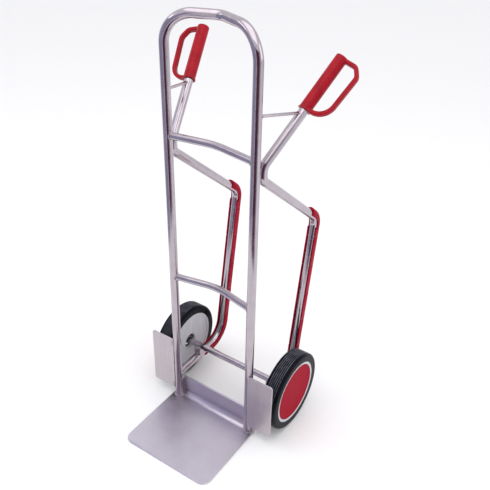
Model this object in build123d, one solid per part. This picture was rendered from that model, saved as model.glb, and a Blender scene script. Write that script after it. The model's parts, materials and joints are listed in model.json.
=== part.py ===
from build123d import *
import os
from math import acos, cos, radians, sin, sqrt

# Two-wheeled aluminium hand truck with a toe plate, splayed D-grips and stair skids.
# Frame: millimetres, +Z up, ground at z = 0, and x = 0 is the symmetry plane. The toe plate
# reaches towards -Y, and the wheels and skids are on +Y. Pieces are drawn with the uprights
# at y = 0 and saved with the uprights' front face, which the load leans on, at y = 0.

# ---------------------------------------------------------------- driving dimensions
# Main frame: one inverted-U tube
FRAME_HEIGHT = 1250.0
UPRIGHT_SPACING = 270.0
TUBE_DIAMETER = 25.0
TUBE_WALL = 2.0
TOP_CORNER_RADIUS = 75.0
TOP_BAR_BOW = 52.0
TOP_BAR_BOW_RADIUS = 38.0

# Crossbars between the uprights, bowed towards the back
CROSSBAR_DIAMETER = 20.0
CROSSBAR_WALL = 2.0
UPPER_CROSSBAR_HEIGHT = 925.0
UPPER_CROSSBAR_BOW = 22.5
LOWER_CROSSBAR_HEIGHT = 480.0
LOWER_CROSSBAR_BOW = 27.5
CROSSBAR_BOW_RADIUS = 180.0

# Toe plate with its bent upstand, and the small gussets beside the upstand
PLATE_EAR = 6.5
PLATE_REACH = 245.0
PLATE_THICKNESS = 5.0
PLATE_CORNER_RADIUS = 28.0
PLATE_REAR_CORNER_RADIUS = 4.0
PLATE_EDGE_BEVEL = 2.5
UPSTAND_HEIGHT = 80.0
UPSTAND_SETBACK = 1.5
UPSTAND_BEND_RADIUS = 20.0
UPSTAND_RELIEF = 1.0
GUSSET_THICKNESS = 3.0
GUSSET_BITE = 1.0
GUSSET_HEIGHT = 73.0

# Wing plates that keep the load off the wheels
WING_THICKNESS = 4.0
WING_OVERLAP = 5.5
WING_WIDTH = 83.0
WING_BOTTOM = 39.0
WING_HEIGHT = 203.0
WING_CORNER_RADIUS = 9.0
WING_SETBACK = 1.5

# Side tubes: grip, knee behind the upright, elbow, skid run, lower bend, lower run
SIDE_TUBE_OFFSET = 6.0
WELD_GAP = 0.05
KNEE_TOP = 906.0
KNEE_BOTTOM = 870.0
KNEE_RADIUS = 32.0
ELBOW_Y = 323.0
ELBOW_Z = 620.0
ELBOW_RADIUS = 42.0
LOWER_BEND_Y = 240.0
LOWER_BEND_RADIUS = 72.0
LOWER_RUN_FRONT_Y = 2.0
HANDLE_LENGTH = 330.0
HANDLE_SLOPE = 42.7
HANDLE_SPLAY = 16.8

# Brace rods from the uprights to the handles
BRACE_DIAMETER = 8.0
BRACE_RISE = 137.0
BRACE_UPRIGHT_Y = 6.0
BRACE_SHARE = 0.495

# D-grips
GRIP_LENGTH = 160.0
GRIP_WALL = 3.7
GRIP_CAP = 5.0
GRIP_FIT = 0.05
COLLAR_RISE = 2.25
COLLAR_LENGTH = 7.0
STRAP_THICKNESS = 11.0
STRAP_WIDTH = 15.5
STRAP_EDGE_RADIUS = 3.5
LOOP_TILT = 6.0
LOOP_CORNER_WIDTH = 46.0
LOOP_TOP_SAG = 1.875
LOOP_TOP_WIDTH = 63.5
LOOP_TOP_DROP = 29.0
LOOP_BOTTOM_WIDTH = 57.0
LOOP_RADII = [16.0, 20.0, 40.0]

# Skid covers: clip-on channels over the rear of the side tube; their legs stop short round the elbow
SKID_WALL = 3.0
SKID_TREAD = 3.5
SKID_LEG = 10.0
SKID_ELBOW_LEG = 5.0
SKID_NOTCH = 6.0
SKID_FIT = 0.05
SKID_GAP = 1.6
SKID_ELBOW_LEAD = 30.0
SKID_ELBOW_TAIL = 34.0
SKID_BEND_LEAD = 30.0
SKID_BEHIND_AXLE = 20.0
SKID_STRIPS = 4

# Axle, its tube and the saddles that hold the tube over the lower runs
AXLE_ROD_DIAMETER = 15.0
AXLE_FIT = 0.05
AXLE_TUBE_WALL = 2.95
AXLE_CHAMFER = 1.0
SADDLE_RISE = 15.0
SADDLE_WIDTH = 24.0
SADDLE_LENGTH = 26.0

# Wheels: the tyre clears the wing plate in front of it and the skid beside it
WHEEL_DIAMETER = 250.0
WING_CLEARANCE = 4.0
SKID_CLEARANCE = 19.45
TYRE_WIDTH = 54.0
TYRE_DEPTH = 27.0
TYRE_SHOULDER = 9.0
RIM_FLANGE_RISE = 2.5
RIM_FLANGE_WIDTH = 3.0
RIM_INSET = 1.5
RIM_BARREL = 6.0
WEB_THICKNESS = 5.0
WEB_INSET = 3.0
HUB_WALL = 12.5
HUB_RECESS_MARGIN = 7.5
HUB_RECESS_DEPTH = 8.5
RIB_COUNT = 8
RIB_THICKNESS = 4.0
RIB_INSET = 6.0
RIB_BITE = 1.0
CAP_GAP = 0.5
CAP_THICKNESS = 2.5
CAP_INSET = 0.5
CAP_CLIP_LENGTH = 6.0
GROOVE_COUNT = 6
GROOVE_WIDTH = 1.6
GROOVE_DEPTH = 2.0

# Bearings and their hardware, each sized outwards from the axle rod
BEARING_SECTION = 10.0
BEARING_WIDTH = 11.0
BEARING_SPACING = 8.0
HUB_SHOULDER = 2.0
BALL_DIAMETER = 6.0
BALL_COUNT = 12
BALL_PLAY = 0.1
RACE_LAND = 1.0
SPACER_WALL = 3.0
WASHER_RIM = 4.0
WASHER_THICKNESS = 1.5
RING_RIM = 3.0
RING_THICKNESS = 1.2
RING_GROOVE_DEPTH = 0.6
RING_SLOT = 5.0
RING_PLAY = 0.1
ROD_OVERHANG = 2.0

# How far a cutting tool runs past the surface that it cuts
CUT_PAST = 1.0

# ---------------------------------------------------------------- derived positions
tube_r = TUBE_DIAMETER / 2
half_spacing = UPRIGHT_SPACING / 2
top_bar_z = FRAME_HEIGHT - tube_r
side_x = half_spacing + SIDE_TUBE_OFFSET
knee_y = sqrt(TUBE_DIAMETER**2 - SIDE_TUBE_OFFSET**2) + WELD_GAP
rod_r = AXLE_ROD_DIAMETER / 2
axle_r = rod_r + AXLE_FIT + AXLE_TUBE_WALL
skid_inner = tube_r + SKID_FIT
skid_outer = skid_inner + SKID_WALL
wing_back = -(tube_r - WING_SETBACK - WING_THICKNESS / 2)
half_tyre = TYRE_WIDTH / 2
wheel_r = WHEEL_DIAMETER / 2
wheel_x = side_x + skid_outer + SKID_CLEARANCE + half_tyre
axle_y = wing_back + WING_CLEARANCE + wheel_r
axle_z = wheel_r
lower_run_z = axle_z - axle_r - SADDLE_RISE - tube_r

slope = radians(HANDLE_SLOPE)
splay = radians(HANDLE_SPLAY)
handle_dir = Vector(cos(slope) * sin(splay), cos(slope) * cos(splay), sin(slope))
knee_point = Vector(side_x, knee_y, KNEE_TOP)
handle_end = knee_point + handle_dir * (HANDLE_LENGTH - GRIP_CAP)
grip_base = knee_point + handle_dir * (HANDLE_LENGTH - GRIP_LENGTH)


def save(part, name):
    """Write one named piece, moved so that y = 0 is the plane that the load leans on."""
    placed = Pos(0, tube_r, 0) * part
    placed.label = name
    export_step(placed, f"parts/{name}.step")


def save_pair(part, name):
    """Write a right-hand piece and its mirror image on the left."""
    save(part, f"right_{name}")
    save(mirror(part, about=Plane.YZ), f"left_{name}")


def rod_along(path, radius):
    """Solid round bar swept along a path."""
    start = Plane(origin=path @ 0, z_dir=path % 0)
    return sweep(start * Circle(radius), path=path)


def tube_along(path, radius, wall):
    """Hollow round tube swept along a path."""
    return rod_along(path, radius) - rod_along(path, radius - wall)


def disc_x(x0, x1, radius):
    """Solid disc about the X axis between two places along X."""
    plane = Plane(origin=(x0, 0, 0), z_dir=(1, 0, 0))
    return extrude(plane * Circle(radius), amount=x1 - x0)


def ring_x(x0, x1, outer, inner):
    """Ring about the X axis between two places along X."""
    return disc_x(x0, x1, outer) - disc_x(x0, x1, inner)


def spin_x(points):
    """Solid of revolution about the X axis from a closed (x, radius) outline."""
    outline = make_face(Polyline(*points, close=True))
    return revolve(outline, axis=Axis.X)


def on_axle(part):
    """Move a piece drawn about the X axis, wheel centre at the origin, to the right wheel."""
    return Pos(wheel_x, axle_y, axle_z) * part


# ---------------------------------------------------------------- main frame
os.makedirs("parts", exist_ok=True)

frame_path = FilletPolyline(
    (-half_spacing, 0, PLATE_THICKNESS),
    (-half_spacing, 0, top_bar_z),
    (0, TOP_BAR_BOW, top_bar_z),
    (half_spacing, 0, top_bar_z),
    (half_spacing, 0, PLATE_THICKNESS),
    radius=[TOP_CORNER_RADIUS, TOP_BAR_BOW_RADIUS, TOP_CORNER_RADIUS],
)
save(tube_along(frame_path, tube_r, TUBE_WALL), "main_frame_tube")

upright_core = Pos(half_spacing, 0, FRAME_HEIGHT / 2) * Cylinder(tube_r, FRAME_HEIGHT)
upright_cores = upright_core + mirror(upright_core, about=Plane.YZ)


def crossbar(height, bow):
    """Bowed tube between the uprights, its ends shaped to fit against them."""
    path = FilletPolyline(
        (-half_spacing, 0, height),
        (0, bow, height),
        (half_spacing, 0, height),
        radius=[CROSSBAR_BOW_RADIUS],
    )
    return tube_along(path, CROSSBAR_DIAMETER / 2, CROSSBAR_WALL) - upright_cores


save(crossbar(UPPER_CROSSBAR_HEIGHT, UPPER_CROSSBAR_BOW), "upper_crossbar")
save(crossbar(LOWER_CROSSBAR_HEIGHT, LOWER_CROSSBAR_BOW), "lower_crossbar")

# ---------------------------------------------------------------- toe plate
plate_width = UPRIGHT_SPACING + TUBE_DIAMETER + 2 * PLATE_EAR
upstand_half = half_spacing - tube_r - GUSSET_THICKNESS + GUSSET_BITE
upstand_y = tube_r + UPSTAND_SETBACK
bend_y = upstand_y - UPSTAND_BEND_RADIUS
bend_z = PLATE_THICKNESS + UPSTAND_BEND_RADIUS
outer_bend = UPSTAND_BEND_RADIUS + PLATE_THICKNESS
upstand_back_y = upstand_y + PLATE_THICKNESS

flat = Pos(0, (upstand_y - PLATE_REACH) / 2) * Rectangle(plate_width, PLATE_REACH + upstand_y)
flat = fillet(flat.vertices().group_by(Axis.Y)[0], PLATE_CORNER_RADIUS)
flat = fillet(flat.vertices().group_by(Axis.Y)[-1], PLATE_REAR_CORNER_RADIUS)
notch_depth = upstand_y - bend_y
notch = Pos(0, bend_y + notch_depth / 2) * Rectangle(2 * (upstand_half + UPSTAND_RELIEF), notch_depth)
toe_flat = extrude(flat - notch, amount=PLATE_THICKNESS)
bevel_plane = Plane(origin=(-plate_width / 2, 0, 0), x_dir=(0, 1, 0), z_dir=(1, 0, 0))
bevel_outline = Polyline(
    (-PLATE_REACH, PLATE_THICKNESS),
    (-PLATE_REACH + 2 * PLATE_EDGE_BEVEL, PLATE_THICKNESS),
    (-PLATE_REACH, PLATE_THICKNESS - PLATE_EDGE_BEVEL),
    close=True,
)
toe_flat -= extrude(bevel_plane * make_face(bevel_outline), amount=plate_width)

bend_line = (
    Line((bend_y, 0), (bend_y, PLATE_THICKNESS))
    + RadiusArc((bend_y, PLATE_THICKNESS), (upstand_y, bend_z), -UPSTAND_BEND_RADIUS)
    + Line((upstand_y, bend_z), (upstand_y, UPSTAND_HEIGHT))
    + Line((upstand_y, UPSTAND_HEIGHT), (upstand_back_y, UPSTAND_HEIGHT))
    + Line((upstand_back_y, UPSTAND_HEIGHT), (upstand_back_y, bend_z))
    + RadiusArc((upstand_back_y, bend_z), (bend_y, 0), outer_bend)
)
bend_plane = Plane(origin=(-upstand_half, 0, 0), x_dir=(0, 1, 0), z_dir=(1, 0, 0))
upstand = extrude(bend_plane * make_face(bend_line), amount=2 * upstand_half)
save(toe_flat + upstand, "toe_plate")

gusset_front = -TUBE_WALL
gusset = Pos(upstand_half, gusset_front, PLATE_THICKNESS) * Box(
    GUSSET_THICKNESS, upstand_back_y - gusset_front, GUSSET_HEIGHT, align=Align.MIN
)
save_pair(gusset - upright_core, "foot_gusset")

# ---------------------------------------------------------------- wing plates
wing_inner = half_spacing + WING_OVERLAP
wing_face = Pos(wing_inner + WING_WIDTH / 2, WING_BOTTOM + WING_HEIGHT / 2) * Rectangle(
    WING_WIDTH, WING_HEIGHT
)
wing_face = fillet(wing_face.vertices().group_by(Axis.X)[-1], WING_CORNER_RADIUS)
wing_plane = Plane(origin=(0, wing_back, 0), x_dir=(1, 0, 0), z_dir=(0, -1, 0))
wing = extrude(wing_plane * wing_face, amount=WING_THICKNESS)
save_pair(wing - upright_core, "wing_plate")

# ---------------------------------------------------------------- side tubes
side_path = FilletPolyline(
    handle_end,
    knee_point,
    (side_x, knee_y, KNEE_BOTTOM),
    (side_x, ELBOW_Y, ELBOW_Z),
    (side_x, LOWER_BEND_Y, lower_run_z),
    (side_x, LOWER_RUN_FRONT_Y, lower_run_z),
    radius=[KNEE_RADIUS, KNEE_RADIUS, ELBOW_RADIUS, LOWER_BEND_RADIUS],
)
save_pair(tube_along(side_path, tube_r, TUBE_WALL) - upright_core, "side_tube")

handle_core = rod_along(Line(knee_point, handle_end), tube_r)
brace_start = Vector(side_x, BRACE_UPRIGHT_Y, KNEE_TOP + BRACE_RISE)
brace_end = knee_point + handle_dir * (HANDLE_LENGTH * BRACE_SHARE)
brace = rod_along(Line(brace_start, brace_end), BRACE_DIAMETER / 2)
save_pair(brace - upright_core - handle_core, "brace_rod")

# ---------------------------------------------------------------- grips
across = (Vector(1, 0, 0) - handle_dir * handle_dir.X).normalized()
down_back = handle_dir.cross(across)
tilt = radians(LOOP_TILT)
loop_out = across * cos(tilt) + down_back * sin(tilt)
loop_plane = Plane(origin=grip_base, x_dir=loop_out, z_dir=loop_out.cross(handle_dir))
grip_axis = Plane(origin=grip_base, z_dir=handle_dir)

grip_r = tube_r + GRIP_FIT + GRIP_WALL
strap_mid = STRAP_THICKNESS / 2
loop_top = GRIP_LENGTH - strap_mid
loop_path = loop_plane * FilletPolyline(
    (0, loop_top),
    (LOOP_CORNER_WIDTH, loop_top - LOOP_TOP_SAG),
    (LOOP_TOP_WIDTH, GRIP_LENGTH - LOOP_TOP_DROP),
    (LOOP_BOTTOM_WIDTH, strap_mid),
    (0, strap_mid),
    radius=LOOP_RADII,
)
strap_plane = Plane(origin=loop_path @ 0, x_dir=loop_plane.z_dir, z_dir=loop_path % 0)
strap_section = RectangleRounded(STRAP_WIDTH, STRAP_THICKNESS, STRAP_EDGE_RADIUS)
strap = sweep(strap_plane * strap_section, path=loop_path)

barrel = Cylinder(grip_r, GRIP_LENGTH, align=(Align.CENTER, Align.CENTER, Align.MIN))
barrel = fillet(barrel.edges().sort_by(Axis.Z)[-1], GRIP_CAP / 2)
collar = Cone(
    grip_r + COLLAR_RISE,
    grip_r,
    COLLAR_LENGTH,
    align=(Align.CENTER, Align.CENTER, Align.MIN),
)
bore = Cylinder(
    tube_r + GRIP_FIT,
    GRIP_LENGTH - GRIP_CAP,
    align=(Align.CENTER, Align.CENTER, Align.MIN),
)
save_pair(grip_axis * (barrel + collar) + strap - grip_axis * bore, "grip")

# ---------------------------------------------------------------- skid covers
elbow_point = Vector(side_x, ELBOW_Y, ELBOW_Z)
bend_point = Vector(side_x, LOWER_BEND_Y, lower_run_z)
knee_low = Vector(side_x, knee_y, KNEE_BOTTOM)
slope_dir = (elbow_point - knee_low).normalized()
run_dir = (bend_point - elbow_point).normalized()
forward = Vector(0, -1, 0)


def tangent_length(dir_in, dir_out, radius):
    """Distance from a corner to where its bend of this radius starts."""
    turn = acos(dir_in.dot(dir_out))
    return radius * sin(turn / 2) / cos(turn / 2)


def channel(leg):
    """Section of a cover, x rearward, with legs that reach this far in front of the tube's middle."""
    shell = Pos(SKID_TREAD, 0) * Circle(skid_outer)
    shell += Pos((SKID_TREAD - leg) / 2, 0) * Rectangle(SKID_TREAD + leg, 2 * skid_outer)
    hollow = Circle(skid_inner) + Pos(-skid_outer, 0) * Rectangle(2 * skid_outer, 2 * skid_inner)
    front_cut = Pos(-leg - 2 * skid_outer, 0) * Rectangle(4 * skid_outer, 4 * skid_outer)
    return shell - hollow - front_cut


def skid_along(points, radii, leg=SKID_LEG):
    """Channel over the rear of the side tube, along a route of straights and bends."""
    path = FilletPolyline(*points, radius=radii) if radii else Line(*points)
    along = path % 0
    rear = along.cross(Vector(-1, 0, 0))
    start = Plane(origin=path @ 0, x_dir=rear, z_dir=along)
    return sweep(start * channel(leg), path=path)


elbow_tangent = tangent_length(slope_dir, run_dir, ELBOW_RADIUS)
bend_tangent = tangent_length(run_dir, forward, LOWER_BEND_RADIUS)
skid_start = elbow_point - slope_dir * (elbow_tangent + SKID_ELBOW_LEAD)
elbow_tail = elbow_point + run_dir * (elbow_tangent + SKID_ELBOW_TAIL)
bend_lead = bend_point - run_dir * (bend_tangent + SKID_BEND_LEAD)
skid_end = Vector(side_x, axle_y + SKID_BEHIND_AXLE, lower_run_z)

elbow_cap = skid_along([skid_start, elbow_point, elbow_tail], [ELBOW_RADIUS], SKID_ELBOW_LEG)
elbow_legs = skid_along([elbow_point + run_dir * (elbow_tangent + SKID_NOTCH), elbow_tail], [])
save_pair(elbow_cap + elbow_legs, "skid_elbow")
save_pair(skid_along([bend_lead, bend_point, skid_end], [LOWER_BEND_RADIUS]), "skid_lower_bend")

strip_pitch = ((bend_lead - elbow_tail).length - SKID_GAP) / SKID_STRIPS
for strip in range(SKID_STRIPS):
    strip_start = elbow_tail + run_dir * (SKID_GAP + strip * strip_pitch)
    strip_end = strip_start + run_dir * (strip_pitch - SKID_GAP)
    save_pair(skid_along([strip_start, strip_end], []), f"skid_strip_{strip + 1}")

# ---------------------------------------------------------------- wheel, drawn at the origin
half_rim = half_tyre - RIM_INSET
seat_r = wheel_r - TYRE_DEPTH
flange_r = seat_r + RIM_FLANGE_RISE
barrel_r = seat_r - RIM_BARREL
flange_in = half_rim - RIM_FLANGE_WIDTH
web_in = -half_rim + WEB_INSET
web_out = web_in + WEB_THICKNESS
bearing_r = rod_r + BEARING_SECTION
hub_r = bearing_r + HUB_WALL
recess_r = bearing_r + HUB_RECESS_MARGIN
recess_end = web_in + HUB_RECESS_DEPTH
inboard_0 = recess_end
inboard_1 = inboard_0 + BEARING_WIDTH
outboard_0 = inboard_1 + BEARING_SPACING
outboard_1 = outboard_0 + BEARING_WIDTH
shoulder_r = bearing_r - HUB_SHOULDER

tyre_body = disc_x(-half_tyre, half_tyre, wheel_r)
tyre_body = fillet(tyre_body.edges().filter_by(GeomType.CIRCLE), TYRE_SHOULDER)
tyre_bore = spin_x(
    [
        (-half_tyre, 0),
        (-half_tyre, flange_r),
        (-flange_in, flange_r),
        (-flange_in, seat_r),
        (flange_in, seat_r),
        (flange_in, flange_r),
        (half_tyre, flange_r),
        (half_tyre, 0),
    ]
)
tread = half_tyre - TYRE_SHOULDER
groove_pitch = 2 * tread / (GROOVE_COUNT - 1)
tyre = tyre_body - tyre_bore
for groove in range(GROOVE_COUNT):
    groove_x = -tread + groove * groove_pitch
    tyre -= ring_x(
        groove_x - GROOVE_WIDTH / 2,
        groove_x + GROOVE_WIDTH / 2,
        wheel_r + CUT_PAST,
        wheel_r - GROOVE_DEPTH,
    )
save_pair(on_axle(tyre), "tyre")

rim = spin_x(
    [
        (-half_rim, barrel_r),
        (-half_rim, flange_r),
        (-flange_in, flange_r),
        (-flange_in, seat_r),
        (flange_in, seat_r),
        (flange_in, flange_r),
        (half_rim, flange_r),
        (half_rim, barrel_r),
        (web_out, barrel_r),
        (web_out, hub_r),
        (outboard_1, hub_r),
        (outboard_1, bearing_r),
        (outboard_0, bearing_r),
        (outboard_0, shoulder_r),
        (inboard_1, shoulder_r),
        (inboard_1, bearing_r),
        (inboard_0, bearing_r),
        (inboard_0, recess_r),
        (web_in, recess_r),
        (web_in, barrel_r),
    ]
)
rib_top = outboard_1 - RIB_INSET
rib = Pos((web_out + rib_top) / 2, (hub_r + barrel_r) / 2, 0) * Box(
    rib_top - web_out, barrel_r - hub_r + 2 * RIB_BITE, RIB_THICKNESS
)
for rib_number in range(RIB_COUNT):
    rim += Rot(360 / RIB_COUNT * rib_number, 0, 0) * rib
save_pair(on_axle(rim), "wheel_rim")

cap_r = barrel_r - CAP_GAP
cap_out = half_rim - CAP_INSET
cap_in = cap_out - CAP_THICKNESS
cap = disc_x(cap_in, cap_out, cap_r)
cap = fillet(cap.edges().sort_by(Axis.X)[-1], CAP_THICKNESS / 2)
clip = ring_x(cap_in - CAP_CLIP_LENGTH, cap_in, barrel_r, barrel_r - CAP_THICKNESS)
cap += clip
save_pair(on_axle(cap), "hub_cap")

# ---------------------------------------------------------------- bearings and axle hardware
ball_r = BALL_DIAMETER / 2
pitch_r = (rod_r + bearing_r) / 2
groove_r = ball_r + BALL_PLAY
bearing_mid = BEARING_WIDTH / 2
raceway = revolve(Pos(0, pitch_r) * Circle(groove_r), axis=Axis.X)
outer_race = ring_x(-bearing_mid, bearing_mid, bearing_r, pitch_r + RACE_LAND) - raceway
inner_race = ring_x(-bearing_mid, bearing_mid, pitch_r - RACE_LAND, rod_r) - raceway
balls = Compound(
    children=[
        Rot(360 / BALL_COUNT * number, 0, 0) * (Pos(0, pitch_r, 0) * Sphere(ball_r))
        for number in range(BALL_COUNT)
    ]
)

for name, start in (("inboard", inboard_0), ("outboard", outboard_0)):
    centre = Pos(start + bearing_mid, 0, 0)
    save_pair(on_axle(centre * outer_race), f"{name}_outer_race")
    save_pair(on_axle(centre * inner_race), f"{name}_inner_race")
    save_pair(on_axle(centre * balls), f"{name}_bearing_balls")

save_pair(on_axle(ring_x(inboard_1, outboard_0, rod_r + SPACER_WALL, rod_r)), "spacer_sleeve")

axle_tube_end = inboard_0 - WASHER_THICKNESS
save_pair(on_axle(ring_x(axle_tube_end, inboard_0, rod_r + WASHER_RIM, rod_r)), "inner_washer")
washer_end = outboard_1 + WASHER_THICKNESS
save_pair(on_axle(ring_x(outboard_1, washer_end, rod_r + WASHER_RIM, rod_r)), "outer_washer")

ring_start = washer_end + RING_PLAY
ring_end = ring_start + RING_THICKNESS
groove_floor = rod_r - RING_GROOVE_DEPTH
ring_r = rod_r + RING_RIM
ring_middle = (ring_start + ring_end) / 2
retaining_ring = ring_x(ring_start, ring_end, ring_r, groove_floor)
retaining_ring -= Pos(ring_middle, 0, ring_r) * Box(
    RING_THICKNESS + 2 * CUT_PAST, RING_SLOT, 2 * ring_r
)
save_pair(on_axle(retaining_ring), "retaining_ring")

rod_half = wheel_x + ring_end + ROD_OVERHANG
axle_rod = disc_x(-rod_half, rod_half, rod_r)
axle_rod = chamfer(axle_rod.edges().filter_by(GeomType.CIRCLE), AXLE_CHAMFER)
groove_half = (RING_THICKNESS + RING_PLAY) / 2
for side in (-1, 1):
    middle = side * (wheel_x + ring_middle)
    axle_rod -= ring_x(middle - groove_half, middle + groove_half, rod_r + CUT_PAST, groove_floor)
save(Pos(0, axle_y, axle_z) * axle_rod, "axle_rod")

axle_half = wheel_x + axle_tube_end
axle_tube = ring_x(-axle_half, axle_half, axle_r, rod_r + AXLE_FIT)
save(Pos(0, axle_y, axle_z) * axle_tube, "axle_tube")

axle_core = Pos(side_x, axle_y, axle_z) * (Rot(0, 90, 0) * Cylinder(axle_r, 2 * SADDLE_WIDTH))
run_core = Pos(side_x, axle_y, lower_run_z) * (Rot(90, 0, 0) * Cylinder(tube_r, 2 * SADDLE_LENGTH))
saddle_height = axle_z - lower_run_z
saddle = Pos(side_x, axle_y, lower_run_z + saddle_height / 2) * Box(
    SADDLE_WIDTH, SADDLE_LENGTH, saddle_height
)
save_pair(saddle - axle_core - run_core, "axle_saddle")
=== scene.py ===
"""Two-wheeled aluminium hand truck with bowed crossbars, splayed D-grips and stair skids.

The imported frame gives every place. Visible pieces are modelled again around it with operators,
as a shop would make them: tubes are drawn and bent, plates are cut and deburred, wheels are
turned, and welds are laid over the joints. Lengths are metres, +Z is up, and the toe plate
reaches towards -Y.
"""

from __future__ import annotations

import json
import logging
import math
from collections.abc import Callable, Iterator, Sequence
from contextlib import contextmanager
from dataclasses import dataclass
from enum import Enum
from typing import Protocol

import bpy
from mathutils import Matrix, Vector

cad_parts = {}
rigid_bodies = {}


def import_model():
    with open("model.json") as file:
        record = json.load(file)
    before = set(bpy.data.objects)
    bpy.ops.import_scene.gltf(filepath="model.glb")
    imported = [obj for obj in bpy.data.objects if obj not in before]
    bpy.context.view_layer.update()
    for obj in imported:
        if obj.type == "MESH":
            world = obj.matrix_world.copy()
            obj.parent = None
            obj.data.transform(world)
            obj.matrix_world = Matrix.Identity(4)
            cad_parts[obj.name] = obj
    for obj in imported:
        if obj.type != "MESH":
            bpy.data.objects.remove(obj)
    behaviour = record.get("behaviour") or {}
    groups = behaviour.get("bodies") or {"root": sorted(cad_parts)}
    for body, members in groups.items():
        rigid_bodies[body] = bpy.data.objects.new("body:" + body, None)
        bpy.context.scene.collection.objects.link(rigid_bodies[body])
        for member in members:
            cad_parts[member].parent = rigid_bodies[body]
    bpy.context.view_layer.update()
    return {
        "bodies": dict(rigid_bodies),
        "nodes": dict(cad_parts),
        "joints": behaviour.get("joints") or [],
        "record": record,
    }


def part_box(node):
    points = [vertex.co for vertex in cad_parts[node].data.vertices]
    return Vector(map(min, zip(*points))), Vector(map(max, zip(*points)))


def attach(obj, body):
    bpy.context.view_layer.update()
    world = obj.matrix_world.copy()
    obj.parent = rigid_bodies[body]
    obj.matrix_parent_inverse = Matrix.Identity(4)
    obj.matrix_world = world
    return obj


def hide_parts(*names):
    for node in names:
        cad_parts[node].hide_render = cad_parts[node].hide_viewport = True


LOG = logging.getLogger("hand_truck")
BODY = "truck_frame"
# Edges flatter than the first angle are shaded smoothly, and those sharper than the second eased.
SMOOTH_ANGLE = math.radians(38)
EASED_ANGLE = 0.6
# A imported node's vertices nearer than this are one, and its faces flatter than this are one.
NODE_MERGE = 2e-6
FLAT_ANGLE = math.radians(1)
# The size of a circle before its vertices are placed.
SEED_RADIUS = 0.01
# The mesh attribute that holds a bar's section and length coordinates.
ALONG = "along"
RIGHTWARDS = Vector((1, 0, 0))
REARWARDS = Vector((0, 1, 0))
UPWARDS = Vector((0, 0, 1))
Point = tuple[float, float]


class Side(Enum):
    """The two sides of the truck, seen from the load."""

    LEFT = "left"
    RIGHT = "right"


class Grain(Enum):
    """The direction that a sheet was brushed in, as the stretch of its pattern."""

    ACROSS = (6.0, 900.0, 900.0)
    UPRIGHT = (700.0, 700.0, 9.0)


# ---------------------------------------------------------------- modelling helpers
def deselect() -> None:
    """Leave nothing selected, so that an operator acts only on what follows."""
    bpy.ops.object.select_all(action="DESELECT")


def activate(piece: bpy.types.Object) -> None:
    """Select one piece and make it the active object.

    Args:
        piece: The object to select.
    """
    deselect()
    piece.select_set(True)
    bpy.context.view_layer.objects.active = piece


@contextmanager
def editing(piece: bpy.types.Object, select_all: bool = True) -> Iterator[None]:
    """Edit one piece's mesh.

    Args:
        piece: The mesh object to edit.
        select_all: Whether everything is selected first, or only what already is.

    Yields:
        Nothing, while the piece is in edit mode.
    """
    activate(piece)
    bpy.ops.object.mode_set(mode="EDIT")
    if select_all:
        bpy.ops.mesh.select_all(action="SELECT")
    yield
    bpy.ops.object.mode_set(mode="OBJECT")


def pick_vertices(piece: bpy.types.Object, wanted: Callable[[int, Vector], bool]) -> None:
    """Select the vertices that a rule names by number and place, and no others.

    Args:
        piece: The mesh object.
        wanted: Whether a vertex of a number and place is selected.
    """
    for polygon in piece.data.polygons:
        polygon.select = False
    for edge in piece.data.edges:
        edge.select = False
    for vertex in piece.data.vertices:
        vertex.select = wanted(vertex.index, vertex.co)


def place_vertices(piece: bpy.types.Object, place: Callable[[int, Vector], Vector]) -> None:
    """Move each vertex to where a formula puts it, given its number and present place.

    Args:
        piece: The mesh object.
        place: The new place for a number and a present place.
    """
    for vertex in piece.data.vertices:
        vertex.co = place(vertex.index, vertex.co.copy())
    piece.data.update()


def name_piece(piece: bpy.types.Object, name: str) -> bpy.types.Object:
    """Name an object and its mesh alike.

    Args:
        piece: The object to name.
        name: The new name.

    Returns:
        The same object.
    """
    piece.name = name
    piece.data.name = name
    return piece


def smooth(piece: bpy.types.Object, angle: float = SMOOTH_ANGLE) -> None:
    """Shade faces smoothly across every edge flatter than an angle."""
    activate(piece)
    bpy.ops.object.shade_smooth_by_angle(angle=angle)


def face_outwards(piece: bpy.types.Object, merge: float = 1e-6) -> None:
    """Merge doubles and turn every face of a closed shell outwards.

    Args:
        piece: The closed mesh object.
        merge: The distance under which vertices are one.
    """
    with editing(piece):
        bpy.ops.mesh.remove_doubles(threshold=merge)
        bpy.ops.mesh.normals_make_consistent(inside=False)


def add_modifier(piece: bpy.types.Object, kind: str, **settings: object) -> None:
    """Add a modifier to a piece and apply it at once.

    Args:
        piece: The mesh object.
        kind: The modifier's type, such as BEVEL.
        **settings: The modifier's own properties.
    """
    modifier = piece.modifiers.new(kind.title(), kind)
    for key, value in settings.items():
        setattr(modifier, key, value)
    activate(piece)
    bpy.ops.object.modifier_apply(modifier=modifier.name)


def ease_edges(piece: bpy.types.Object, width: float, segments: int = 2,
               flat_area: float = math.inf) -> None:
    """Round every sharp edge, and give the rounding the second material.

    Args:
        piece: The mesh object.
        width: The rounding's width.
        segments: The facets across each rounding.
        flat_area: Faces larger than this stay perfectly flat.
    """
    add_modifier(
        piece,
        "BEVEL",
        width=width,
        segments=segments,
        limit_method="ANGLE",
        angle_limit=EASED_ANGLE,
        use_clamp_overlap=True,
        material=1 if len(piece.data.materials) > 1 else -1,
    )
    smooth(piece)
    for polygon in piece.data.polygons:
        polygon.use_smooth = polygon.area < flat_area


def joined(pieces: Sequence[bpy.types.Object], name: str) -> bpy.types.Object:
    """Join several pieces into one with a new name.

    Args:
        pieces: The mesh objects.
        name: The new piece's name.

    Returns:
        The joined piece.
    """
    deselect()
    for piece in pieces:
        piece.select_set(True)
    bpy.context.view_layer.objects.active = pieces[0]
    if len(pieces) > 1:
        bpy.ops.object.join()
    return name_piece(bpy.context.view_layer.objects.active, name)


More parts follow.
